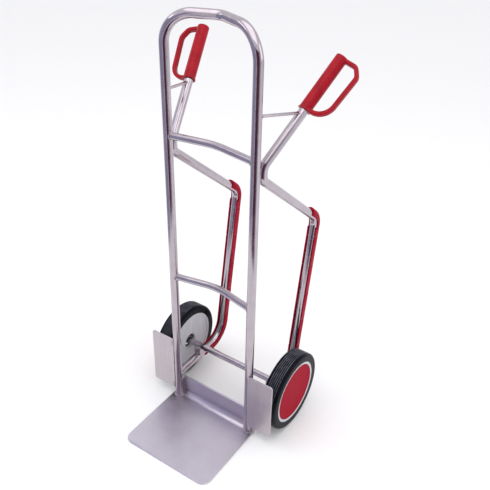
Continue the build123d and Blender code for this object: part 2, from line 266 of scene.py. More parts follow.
def copied(piece: bpy.types.Object, name: str) -> bpy.types.Object:
    """A copy of a piece with a mesh of its own.

    Args:
        piece: The mesh object.
        name: The copy's name.

    Returns:
        The copy, which stands for no node yet.
    """
    twin = piece.copy()
    twin.data = piece.data.copy()
    for key in [key for key in twin.keys() if key.startswith("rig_")]:
        del twin[key]
    bpy.context.scene.collection.objects.link(twin)
    return name_piece(twin, name)


def mirrored(piece: bpy.types.Object, name: str) -> bpy.types.Object:
    """The left-hand copy of a right-hand piece, with its faces turned outwards again.

    Args:
        piece: The right-hand piece.
        name: The copy's name.

    Returns:
        The left-hand piece.
    """
    twin = copied(piece, name)
    twin.data.transform(Matrix.Scale(-1, 4, (1, 0, 0)))
    with editing(twin):
        bpy.ops.mesh.flip_normals()
    return twin


def copy_of_node(frame: dict, node: str, name: str) -> bpy.types.Object:
    """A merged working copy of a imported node, with flat faces made whole.

    Args:
        node: The node's name.
        name: The copy's name.

    Returns:
        The copy, without materials.
    """
    piece = copied(frame["nodes"][node], name)
    piece.parent = None
    piece.hide_render = False
    piece.data.materials.clear()
    with editing(piece):
        bpy.ops.mesh.customdata_custom_splitnormals_clear()
        bpy.ops.mesh.remove_doubles(threshold=NODE_MERGE)
        bpy.ops.mesh.dissolve_limited(angle_limit=FLAT_ANGLE)
    return piece


# ---------------------------------------------------------------- tubes and bars
@dataclass
class Route:
    """A bent bar's line: straight runs between corners, each rounded to a bending radius."""

    corners: Sequence[Vector]
    radii: Sequence[float] = ()
    bend_step: float = math.radians(4)

    def runs(self) -> Iterator[tuple[Vector, tuple[Vector, Vector, float, int] | None]]:
        """Yield each straight run's end with the bend that follows it.

        Yields:
            The end of a run, and the bend's centre, axis, angle and steps, or None at the end.
        """
        for number, radius in enumerate(self.radii, start=1):
            corner = self.corners[number]
            ahead = (self.corners[number + 1] - corner).normalized()
            behind = (corner - self.corners[number - 1]).normalized()
            turn = behind.angle(ahead)
            start = corner - behind * radius * math.tan(turn / 2)
            axis = behind.cross(ahead).normalized()
            centre = start + axis.cross(behind) * radius
            yield start, (centre, axis, turn, max(2, round(turn / self.bend_step)))
        yield self.corners[-1], None

    def heading(self) -> Vector:
        """The direction of the first run."""
        return (self.corners[1] - self.corners[0]).normalized()


def ring_of_edges(name: str, places: Sequence[Vector]) -> bpy.types.Object:
    """Make a closed ring of edges through a list of points.

    Args:
        name: The piece's name.
        places: The points, in order.

    Returns:
        The ring, which has no faces yet.
    """
    deselect()
    bpy.ops.mesh.primitive_circle_add(
        vertices=len(places), radius=SEED_RADIUS, fill_type="NOTHING"
    )
    ring = name_piece(bpy.context.object, name)
    place_vertices(ring, lambda number, _: places[number])
    return ring


def draw_bar(
    name: str, outline: Sequence[Point], route: Route, across: Vector
) -> bpy.types.Object:
    """Draw a closed outline along a route, capped at both ends.

    Args:
        name: The piece's name.
        outline: The section's points, the first value along across, counter-clockwise.
        route: The line to follow.
        across: The direction of the section's first axis at the start.

    Returns:
        The bar, with an attribute that holds each point's place in the section and along it.
    """
    heading = route.heading()
    first = (across - heading * across.dot(heading)).normalized()
    second = heading.cross(first)
    start = route.corners[0]
    count = len(outline)
    bar = ring_of_edges(name, [start + first * u + second * v for u, v in outline])
    reached, length, rings = start, 0.0, [0.0]
    with editing(bar):
        for end, bend in route.runs():
            bpy.ops.mesh.extrude_region_move(TRANSFORM_OT_translate={"value": end - reached})
            length += (end - reached).length
            rings.append(length)
            reached = end
            if bend is None:
                continue
            centre, axis, turn, steps = bend
            bpy.ops.mesh.spin(steps=steps, angle=-turn, center=centre, axis=axis)
            arc = (reached - centre).length * turn
            rings.extend(length + arc * step / steps for step in range(1, steps + 1))
            length += arc
            reached = centre + Matrix.Rotation(turn, 3, axis) @ (reached - centre)
    for ring in (0, len(rings) - 1):
        pick_vertices(bar, lambda i, co, ring=ring: i // count == ring)
        with editing(bar, select_all=False):
            bpy.ops.mesh.edge_face_add()
    along = bar.data.attributes.new(ALONG, "FLOAT_VECTOR", "POINT")
    for index, item in enumerate(along.data):
        u, v = outline[index % count]
        item.vector = (u, v, rings[index // count])
    with editing(bar):
        bpy.ops.mesh.normals_make_consistent(inside=False)
    smooth(bar)
    return bar


def round_section(radius: float, points: int = 56) -> list[Point]:
    """A circle's points, counter-clockwise."""
    turns = [2 * math.pi * number / points for number in range(points)]
    return [(radius * math.cos(turn), radius * math.sin(turn)) for turn in turns]


def arc(centre: Point, radius: float, start: float, end: float, points: int) -> list[Point]:
    """Points on an arc from one angle to another, both ends included."""
    angles = [start + (end - start) * number / (points - 1) for number in range(points)]
    return [(centre[0] + radius * math.cos(a), centre[1] + radius * math.sin(a)) for a in angles]


def rounded(corners: Sequence[tuple[float, float, float]], points: int = 5) -> list[Point]:
    """Round the corners of a closed outline.

    Args:
        corners: Each corner's two coordinates and its rounding radius, 0 for a sharp one.
        points: The points on each rounded corner.

    Returns:
        The outline's points in the same order.
    """
    outline: list[Point] = []
    for number, (x, y, radius) in enumerate(corners):
        here = Vector((x, y))
        if radius == 0:
            outline.append((x, y))
            continue
        before = (Vector(corners[number - 1][:2]) - here).normalized()
        after = (Vector(corners[(number + 1) % len(corners)][:2]) - here).normalized()
        half = before.angle(after) / 2
        centre = here + (before + after).normalized() * radius / math.sin(half)
        start = here + before * radius / math.tan(half) - centre
        end = here + after * radius / math.tan(half) - centre
        for step in range(points):
            share = step / (points - 1)
            spoke = start.normalized().slerp(end.normalized(), share).normalized()
            outline.append(tuple(centre + spoke * radius))
    return outline


def turn_on_lathe(name: str, outline: Sequence[Point], steps: int) -> bpy.types.Object:
    """Turn a closed (x, radius) outline once round the X axis.

    Args:
        name: The piece's name.
        outline: The outline's points, as place along the axle and radius.
        steps: The facets round the piece.

    Returns:
        The turned piece, centred on the origin.
    """
    piece = ring_of_edges(name, [Vector((x, 0, radius)) for x, radius in outline])
    with editing(piece):
        bpy.ops.mesh.spin(steps=steps, angle=2 * math.pi, center=(0, 0, 0), axis=(1, 0, 0))
    face_outwards(piece)
    smooth(piece)
    return piece


# ---------------------------------------------------------------- weld beads
# A bead is a row of overlapping scales, one pitch apart, each with a few rings of facets.
SCALE_PITCH = 0.0024
FEWEST_SCALES = 3
STEPS_PER_SCALE = 5
BEAD_SIDES = 10
BEAD_ANGLE = math.radians(80)


def scallop(share: float, ripples: int) -> float:
    """A bead's thickness at a share of its length: overlapping scales, a little uneven.

    Args:
        share: The place along the bead, from 0 to 1.
        ripples: How many scales the bead has.

    Returns:
        The thickness as a factor near 1.
    """
    ripple = abs(math.sin(math.pi * ripples * share))
    slow, fast = 17.3, 41.7
    drift = math.sin(slow * share + ripples) * math.sin(fast * share)
    valley, ripple_rise, drift_rise = 0.86, 0.2, 0.1
    return valley + ripple_rise * ripple + drift_rise * drift


def bead_on(name: str, line: Callable[[float], Vector], radius: float, length: float,
            closed: bool = False) -> bpy.types.Object:
    """Lay one weld bead along a line.

    Args:
        name: The bead's name.
        line: The bead's middle at a share from 0 to 1 of its length.
        radius: Half the bead's thickness.
        length: The line's length, which sets how many scales the bead has.
        closed: Whether the line comes back to its start.

    Returns:
        The bead as a closed mesh.
    """
    ripples = max(FEWEST_SCALES, round(length / SCALE_PITCH))
    steps = ripples * STEPS_PER_SCALE
    nudge, taper, steep = 1e-3, 5, 0.9

    def frame_at(share: float) -> tuple[Vector, Vector, Vector]:
        """The line's point and two directions square to it.

        Args:
            share: The place along the bead.

        Returns:
            The point and the two directions.
        """
        here = line(share)
        ahead = (line(min(share + nudge, 1.0)) - line(max(share - nudge, 0.0))).normalized()
        helper = UPWARDS if abs(ahead.z) < steep else RIGHTWARDS
        sideways = ahead.cross(helper).normalized()
        return here, sideways, ahead.cross(sideways)

    def place(share: float, turn: float, size: float) -> Vector:
        """A point on the bead's skin."""
        here, sideways, upwards = frame_at(share)
        return here + (sideways * math.cos(turn) + upwards * math.sin(turn)) * size

    def on_ring(_: int, co: Vector) -> Vector:
        """Move a torus vertex onto the closed bead.

        Args:
            co: The vertex's place on the torus.

        Returns:
            Its place on the bead.
        """
        share = (math.atan2(co.y, co.x) / (2 * math.pi)) % 1.0
        turn = math.atan2(co.z, math.hypot(co.x, co.y) - 1)
        return place(share, turn, radius * scallop(share, ripples))

    def on_run(_: int, co: Vector) -> Vector:
        """Move a sphere vertex onto the open bead.

        Args:
            co: The vertex's place on the sphere.

        Returns:
            Its place on the bead.
        """
        share = math.acos(max(-1.0, min(1.0, co.z))) / math.pi
        ends = math.sqrt(min(1.0, taper * min(share, 1 - share)))
        return place(share, math.atan2(co.y, co.x), radius * ends * scallop(share, ripples))

    deselect()
    if closed:
        bpy.ops.mesh.primitive_torus_add(
            major_segments=steps, minor_segments=BEAD_SIDES, major_radius=1, minor_radius=0.25
        )
    else:
        bpy.ops.mesh.primitive_uv_sphere_add(segments=BEAD_SIDES, ring_count=steps, radius=1)
    bead = name_piece(bpy.context.object, name)
    place_vertices(bead, on_ring if closed else on_run)
    face_outwards(bead, merge=1e-7)
    smooth(bead, BEAD_ANGLE)
    return bead


def straight_line(start: Vector, end: Vector) -> Callable[[float], Vector]:
    """A straight line as a function of the share along it."""
    return lambda share: start.lerp(end, share)


def seam(start: Vector, end: Vector, radius: float) -> bpy.types.Object:
    """Lay a straight seam between two points."""
    return bead_on("seam", straight_line(start, end), radius, (end - start).length)


def ring_line(
    centre: Vector, first: Vector, second: Vector, radius: float
) -> Callable[[float], Vector]:
    """A circle as a function of the share round it.

    Args:
        centre: The circle's middle.
        first: The direction of its start.
        second: The direction of its first quarter.
        radius: The circle's radius.

    Returns:
        The function that gives a point for each share.
    """

    def point(share: float) -> Vector:
        """One point of the circle."""
        turn = 2 * math.pi * share
        return centre + (first * math.cos(turn) + second * math.sin(turn)) * radius

    return point


def square_to(heading: Vector) -> tuple[Vector, Vector]:
    """Two directions square to a heading that isn't upright, the first one level."""
    first = heading.cross(UPWARDS).normalized()
    return first, heading.cross(first)


def cope_line(origin: Vector, heading: Vector, radius: float, post: Vector,
              post_radius: float) -> Callable[[float], Vector]:
    """Where a round bar meets an upright post, as a function of the share round the bar.

    Args:
        origin: A point on the bar's axis.
        heading: The bar's direction towards the post.
        radius: The bar's radius.
        post: A point on the post's upright axis.
        post_radius: The post's radius.

    Returns:
        The function that gives a point for each share.
    """
    ring = ring_line(origin, *square_to(heading), radius)

    def point(share: float) -> Vector:
        """Follow the bar's skin to the post.

        Args:
            share: The place round the bar, from 0 to 1.

        Returns:
            One point of the joint.
        """
        start = ring(share)
        flat = Vector((start.x - post.x, start.y - post.y))
        along = Vector((heading.x, heading.y))
        square = along.length_squared
        middle = flat.dot(along)
        rest = max(0.0, middle**2 - square * (flat.length_squared - post_radius**2))
        return start + heading * ((-middle - math.sqrt(rest)) / square)

    return point


# ---------------------------------------------------------------- material graphs
class Graph:
    """A material's node tree, written as short calls that return sockets."""

    def __init__(self, name: str) -> None:
        """Start an empty material with one shader.

        Args:
            name: The material's name.
        """
        self.material = bpy.data.materials.new(name)
        self.material.use_nodes = True
        self.tree = self.material.node_tree
        self.tree.nodes.clear()
        self.shader = self.tree.nodes.new("ShaderNodeBsdfPrincipled")
        output = self.tree.nodes.new("ShaderNodeOutputMaterial")
        self.tree.links.new(self.shader.outputs["BSDF"], output.inputs["Surface"])

    def add(self, kind: str, inputs: dict[str | int, object], **settings: object) -> bpy.types.Node:
        """Add a node.

        Args:
            kind: The node's type without its ShaderNode prefix.
            inputs: A value or a socket for each named or numbered input.
            **settings: The node's own properties.

        Returns:
            The new node.
        """
        node = self.tree.nodes.new("ShaderNode" + kind)
        for key, value in settings.items():
            setattr(node, key, value)
        for key, value in inputs.items():
            if isinstance(value, bpy.types.NodeSocket):
                self.tree.links.new(value, node.inputs[key])
            else:
                node.inputs[key].default_value = value
        return node

    def place(self, stretch: Sequence[float] = (1, 1, 1)) -> bpy.types.NodeSocket:
        """The object's own coordinates, scaled on each axis."""
        coordinates = self.add("TexCoord", {}).outputs["Object"]
        return self.add("Mapping", {"Vector": coordinates, "Scale": stretch}).outputs["Vector"]

    def along(self, stretch: Sequence[float]) -> bpy.types.NodeSocket:
        """The place in a bar's section and along it, scaled on each axis."""
        stored = self.add("Attribute", {}, attribute_name=ALONG).outputs["Vector"]
        return self.add("Mapping", {"Vector": stored, "Scale": stretch}).outputs["Vector"]

    def noise(self, where: bpy.types.NodeSocket, scale: float, detail: float = 3.0,
              roughness: float = 0.55) -> bpy.types.NodeSocket:
        """Fractal noise as a value about 0.5.

        Args:
            where: The coordinates.
            scale: The size of the pattern, larger for finer.
            detail: The number of finer layers.
            roughness: How strong the finer layers are.

        Returns:
            The value.
        """
        node = self.add(
            "TexNoise", {"Vector": where, "Scale": scale, "Detail": detail, "Roughness": roughness}
        )
        return node.outputs["Fac"]

    def spread(self, value: bpy.types.NodeSocket, low: float, high: float,
               start: float = 0.3, stop: float = 0.7) -> bpy.types.NodeSocket:
        """Map a value's middle range onto another range.

        Args:
            value: The value to map.
            low: The result at start.
            high: The result at stop.
            start: The range's lower end.
            stop: The range's upper end.

        Returns:
            The mapped value.
        """
        node = self.add(
            "MapRange",
            {"Value": value, "From Min": start, "From Max": stop, "To Min": low, "To Max": high},
        )
        return node.outputs["Result"]

    def blend(self, share: bpy.types.NodeSocket, low: Sequence[float],
              high: Sequence[float] | bpy.types.NodeSocket) -> bpy.types.NodeSocket:
        """Mix two colours by a share."""
        node = self.add("MixRGB", {"Fac": share, "Color1": low, "Color2": high})
        return node.outputs["Color"]

    def calculate(self, operation: str, *values: object) -> bpy.types.NodeSocket:
        """One arithmetic step on values or sockets."""
        return self.add("Math", dict(enumerate(values)), operation=operation).outputs[0]

    def relief(self, height: bpy.types.NodeSocket, depth: float,
               under: bpy.types.NodeSocket | None = None) -> bpy.types.NodeSocket:
        """A bump of a real depth, laid over another if one is given.

        Args:
            height: The height as a value.
            depth: The depth in metres of a height of one.
            under: Another relief that this one lies on.

        Returns:
            The normal.
        """
        inputs: dict[str | int, object] = {"Height": height, "Distance": depth, "Strength": 1.0}
        if under is not None:
            inputs["Normal"] = under
        return self.add("Bump", inputs).outputs["Normal"]

    def mixed(
        self, first: bpy.types.NodeSocket, second: bpy.types.NodeSocket, share: float
    ) -> bpy.types.NodeSocket:
        """Two values added together, the first one with a share and the second with the rest."""
        rest = self.calculate("MULTIPLY", second, 1 - share)
        return self.calculate("MULTIPLY_ADD", first, share, rest)

    def finish(self, **sockets: object) -> bpy.types.Material:
        """Set the shader's inputs, written with underscores, and return the material.

        Args:
            **sockets: A value or a socket for each input.

        Returns:
            The material.
        """
        for key, value in sockets.items():
            target = self.shader.inputs[key.replace("_", " ")]
            if isinstance(value, bpy.types.NodeSocket):
                self.tree.links.new(value, target)
            else:
                target.default_value = value
        return self.material


def rgb(red: float, green: float, blue: float) -> tuple[float, float, float, float]:
    """An opaque colour from linear values."""
    return (red, green, blue, 1.0)


# ---------------------------------------------------------------- finishes
class Finish(Protocol):
    """What every finish has: a name, its slot in the record and its material."""

    name: str
    slot: str

    def make(self) -> bpy.types.Material:
        """Build the material."""


@dataclass(frozen=True)
class DrawnAluminium:
    """Drawn and lightly polished tube: fine lines along it, soft smudges across."""

    name: str = "drawn_aluminium"
    slot: str = "polished_aluminium"
    light: tuple = rgb(0.55, 0.50, 0.54)
    dark: tuple = rgb(0.39, 0.34, 0.38)
    roughness: tuple[float, float] = (0.08, 0.19)
    line_depth: float = 0.000006
    scratch_depth: float = 0.000008

    def make(self) -> bpy.types.Material:
        """Build the material.

        Returns:
            The material.
        """
        graph = Graph(self.name)
        lines = graph.noise(graph.along((2600, 2600, 5)), scale=1.0, detail=4.0, roughness=0.6)
        scratches = graph.noise(graph.along((900, 900, 26)), scale=1.0, detail=2.0)
        smudges = graph.noise(graph.place((1, 1, 0.55)), scale=34.0, detail=4.0)
        spots = graph.noise(graph.place(), scale=210.0, detail=2.0)
        wear_and_highlight = graph.spread(spots, low=0.0, high=0.05, start=0.62, stop=0.75)
        grooves = graph.spread(scratches, low=0, high=1, start=0.56, stop=0.66)
        fine = graph.relief(lines, self.line_depth)
        tone = graph.mixed(lines, smudges, share=0.5)
        return graph.finish(
            Base_Color=graph.blend(graph.spread(tone, 0, 1), self.dark, self.light),
            Metallic=1.0,
            Roughness=graph.spread(graph.calculate("ADD", smudges, wear_and_highlight), *self.roughness),
            Normal=graph.relief(grooves, self.scratch_depth, under=fine),
        )


@dataclass(frozen=True)
class BrushedAluminium:
    """Sheet brushed one way, with a faint change of tone from the rolling."""

    name: str
    grain: Grain
    light: tuple
    dark: tuple
    roughness: tuple[float, float] = (0.30, 0.46)
    stroke_depth: float = 0.00002
    nick_depth: float = 0.00003
    slot: str = "brushed_aluminium"

    def make(self) -> bpy.types.Material:
        """Build the material.

        Returns:
            The material.
        """
        graph = Graph(self.name)
        strokes = graph.noise(graph.place(self.grain.value), scale=1.0, detail=5.0, roughness=0.65)
        clouds = graph.noise(graph.place(), scale=14.0, detail=4.0)
        nicks = graph.noise(graph.place(), scale=420.0, detail=2.0)
        tone = graph.mixed(strokes, clouds, share=0.62)
        marks = graph.spread(nicks, low=0, high=1, start=0.66, stop=0.74)
        fine = graph.relief(strokes, self.stroke_depth)
        return graph.finish(
            Base_Color=graph.blend(graph.spread(tone, 0, 1), self.dark, self.light),
            Metallic=1.0,
            Roughness=graph.spread(tone, *self.roughness),
            Normal=graph.relief(marks, self.nick_depth, under=fine),
        )


@dataclass(frozen=True)
class BareEdge:
    """A cut and deburred aluminium edge, brighter than the sheet beside it."""

    name: str = "deburred_edge"
    slot: str = "brushed_aluminium"
    light: tuple = rgb(0.70, 0.67, 0.71)
    dark: tuple = rgb(0.52, 0.49, 0.53)
    roughness: tuple[float, float] = (0.2, 0.36)
    depth: float = 0.00003

    def make(self) -> bpy.types.Material:
        """Build the material.

        Returns:
            The material.
        """
        graph = Graph(self.name)
        rub_and_highlight = graph.noise(graph.place(), scale=260.0)
        return graph.finish(
            Base_Color=graph.blend(graph.spread(rub_and_highlight, 0, 1), self.dark, self.light),
            Metallic=1.0,
            Roughness=graph.spread(rub_and_highlight, *self.roughness),
            Normal=graph.relief(rub_and_highlight, self.depth),
        )


@dataclass(frozen=True)
class WeldAluminium:
    """Weld metal: whitish, with fine pits and patches of grey soot."""

    name: str = "weld_aluminium"
    slot: str = "polished_aluminium"
    light: tuple = rgb(0.64, 0.60, 0.63)
    dark: tuple = rgb(0.30, 0.27, 0.30)
    roughness: tuple[float, float] = (0.3, 0.55)
    pit_depth: float = 0.00025

    def make(self) -> bpy.types.Material:
        """Build the material.

        Returns:
            The material.
        """
        graph = Graph(self.name)
        skin = graph.noise(graph.place(), scale=900.0, detail=4.0, roughness=0.6)
        soot = graph.noise(graph.place(), scale=120.0)
        tone = graph.spread(graph.mixed(skin, soot, share=0.6), 0, 1, start=0.36, stop=0.6)
        return graph.finish(
            Base_Color=graph.blend(tone, self.dark, self.light),
            Metallic=1.0,
            Roughness=graph.spread(soot, *self.roughness),
            Normal=graph.relief(skin, self.pit_depth),
        )


@dataclass(frozen=True)
class MouldedPlastic:
    """Moulded plastic: an even colour with faint flow marks, fine texture and rubbed edges."""

    name: str
    slot: str
    colour: tuple
    deep: tuple
    rubbed_and_highlit: tuple
    roughness: tuple[float, float] = (0.24, 0.38)
    texture: float = 0.00003
    index: float = 1.3

    def with_painted_shade(self, graph: Graph, colour: bpy.types.NodeSocket) -> bpy.types.NodeSocket:
        """The colour with any painted shade over it; none here."""
        return colour

    def make(self) -> bpy.types.Material:
        """Build the material.

        Returns:
            The material.
        """
        graph = Graph(self.name)
        flow = graph.noise(graph.place((1, 1, 0.4)), scale=38.0, detail=4.0)
        grit = graph.noise(graph.place(), scale=1500.0, detail=2.0)
        scuffs = graph.noise(graph.place((900, 120, 120)), scale=1.0)
        scuffed = graph.spread(scuffs, low=0.0, high=0.08, start=0.58, stop=0.7)
        edge = graph.add("NewGeometry", {}).outputs["Pointiness"]
        edge = graph.spread(edge, low=0.0, high=0.6, start=0.515, stop=0.56)
        worn = graph.calculate("MULTIPLY", edge, graph.spread(flow, low=0.4, high=1.0))
        body = graph.blend(graph.spread(flow, 0, 1), self.deep, self.colour)
        return graph.finish(
            Base_Color=self.with_painted_shade(graph, graph.blend(worn, body, self.rubbed_and_highlit)),
            Roughness=graph.calculate("ADD", graph.spread(flow, *self.roughness), scuffed),
            IOR=self.index,
            Normal=graph.relief(grit, self.texture),
        )


@dataclass(frozen=True)
class RecessShadedPlastic(MouldedPlastic):
    """Rim plastic with painted shade darkening the hub's recess about the axle."""

    axle_y: float = 0.0
    axle_z: float = 0.0
    reach: float = 0.0245
    fade: float = 0.0015
    ragged: float = 0.002
    # Painted shade: the near-black colour laid over the hub's recess.
    painted_shade: tuple = rgb(0.012, 0.011, 0.013)

    def with_painted_shade(self, graph: Graph, colour: bpy.types.NodeSocket) -> bpy.types.NodeSocket:
        """Paint shade over the plastic near the axle, inside the hub's recess, with a ragged edge.

        Args:
            graph: The material's graph.
            colour: The clean colour.

        Returns:
            The colour with the painted shade over it.
        """
        place = graph.add("SeparateXYZ", {"Vector": graph.add("TexCoord", {}).outputs["Object"]})
        sideways = graph.calculate("SUBTRACT", place.outputs["Y"], self.axle_y)
        upwards = graph.calculate("SUBTRACT", place.outputs["Z"], self.axle_z)
        squares = [graph.calculate("POWER", leg, 2.0) for leg in (sideways, upwards)]
        radius = graph.calculate("SQRT", graph.calculate("ADD", *squares))
        ragged = graph.calculate("MULTIPLY", graph.noise(graph.place(), scale=240.0), self.ragged)
        edge = graph.calculate("ADD", radius, ragged)
        # Painted shade: full inside the recess radius, fading out just beyond it.
        share = graph.spread(edge, 1.0, 0.0, start=self.reach, stop=self.reach + self.fade)
        return graph.blend(share, colour, self.painted_shade)


@dataclass(frozen=True)
class TyreRubber:
    """Solid rubber: near black, fine moulded grain, and a painted highlight: the tread ribs' crowns
    painted bluish grey.

    The painted highlight bands lie at the tread's rib pitch about the wheel's middle, across the
    axle.
    """

    wheel_x: float
    pitch: float
    tread: float
    name: str = "tyre_rubber_moulded"
    slot: str = "tyre_rubber"
    black: tuple = rgb(0.0015, 0.0015, 0.003)
    grey: tuple = rgb(0.008, 0.008, 0.014)
    # Painted highlight: the bluish grey painted on the rib crowns.
    rubbed_and_highlit: tuple = rgb(0.15, 0.155, 0.19)
    roughness: tuple[float, float] = (0.26, 0.4)
    index: float = 1.16
    grain_depth: float = 0.00004

    def crown_highlight_mask(self, graph: Graph) -> bpy.types.NodeSocket:
        """The painted highlight's mask: one on each rib's crown and nothing between the ribs or on
        the sidewalls.

        Args:
            graph: The material's graph.

        Returns:
            The mask as a value.
        """
        place = graph.add("TexCoord", {}).outputs["Object"]
        across = graph.add("SeparateXYZ", {"Vector": place}).outputs["X"]
        offset = graph.calculate("SUBTRACT", graph.calculate("ABSOLUTE", across), self.wheel_x)
        phase = graph.calculate("MULTIPLY", offset, 2 * math.pi / self.pitch)
        crest = graph.spread(graph.calculate("COSINE", phase), 1.0, 0.0, start=-0.95, stop=0.2)
        inside = graph.calculate("LESS_THAN", graph.calculate("ABSOLUTE", offset), self.tread)
        return graph.calculate("MULTIPLY", crest, inside)

    def make(self) -> bpy.types.Material:
        """Build the material.

        Returns:
            The material.
        """
        graph = Graph(self.name)
        grain = graph.noise(graph.place(), scale=1100.0)
        patches = graph.noise(graph.place(), scale=30.0, detail=4.0)
        # Painted highlight: noise that breaks up the lighter colour painted on each rib's crown.
        wear_and_highlight = graph.noise(graph.place(), scale=55.0, detail=4.0, roughness=0.7)
        wear_and_highlight = graph.spread(wear_and_highlight, low=0.15, high=1.0, start=0.35, stop=0.65)
        rub_and_highlight = graph.calculate("MULTIPLY", self.crown_highlight_mask(graph), wear_and_highlight)
        body = graph.blend(graph.spread(patches, 0, 1), self.black, self.grey)
        return graph.finish(
            Base_Color=graph.blend(rub_and_highlight, body, self.rubbed_and_highlit),
            Roughness=graph.spread(patches, *self.roughness),
            IOR=self.index,
            Normal=graph.relief(grain, self.grain_depth),
        )


@dataclass(frozen=True)
class SteelHardware:
    """Plated or ground steel with fine turning marks about the axle."""

    name: str
    slot: str
    light: tuple
    dark: tuple
    roughness: tuple[float, float]
    mark_depth: float = 0.00001

    def make(self) -> bpy.types.Material:
        """Build the material.

        Returns:
            The material.
        """
        graph = Graph(self.name)
        turned = graph.noise(graph.place((2400, 60, 60)), scale=1.0)
        cloud = graph.noise(graph.place(), scale=90.0)
        return graph.finish(
            Base_Color=graph.blend(graph.spread(cloud, 0, 1), self.dark, self.light),
            Metallic=1.0,
            Roughness=graph.spread(cloud, *self.roughness),
            Normal=graph.relief(turned, self.mark_depth),
        )


@dataclass(frozen=True)
class PaleFloor:
    """A plain, nearly white studio floor with a very fine tooth."""

    name: str = "pale_floor"
    light: tuple = rgb(0.93, 0.93, 0.93)
    dark: tuple = rgb(0.90, 0.90, 0.90)
    tooth_depth: float = 0.0001

    def make(self) -> bpy.types.Material:
        """Build the material.

        Returns:
            The material.
        """
        graph = Graph(self.name)
        tooth = graph.noise(graph.place(), scale=60.0)
        return graph.finish(
            Base_Color=graph.blend(tooth, self.dark, self.light),
            Roughness=0.75,
            Specular_IOR_Level=0.2,
            Normal=graph.relief(tooth, self.tooth_depth),
        )


@dataclass(frozen=True)
class TreadPattern:
    """The ribs moulded round the tread, shared by the tyre's shape and its painted crown
    highlights.
    """

    half: float = 0.018
    ribs: int = 6
    depth: float = 0.0018

    @property
    def pitch(self) -> float:
        """The distance from one rib to the next."""
        return 2 * self.half / self.ribs


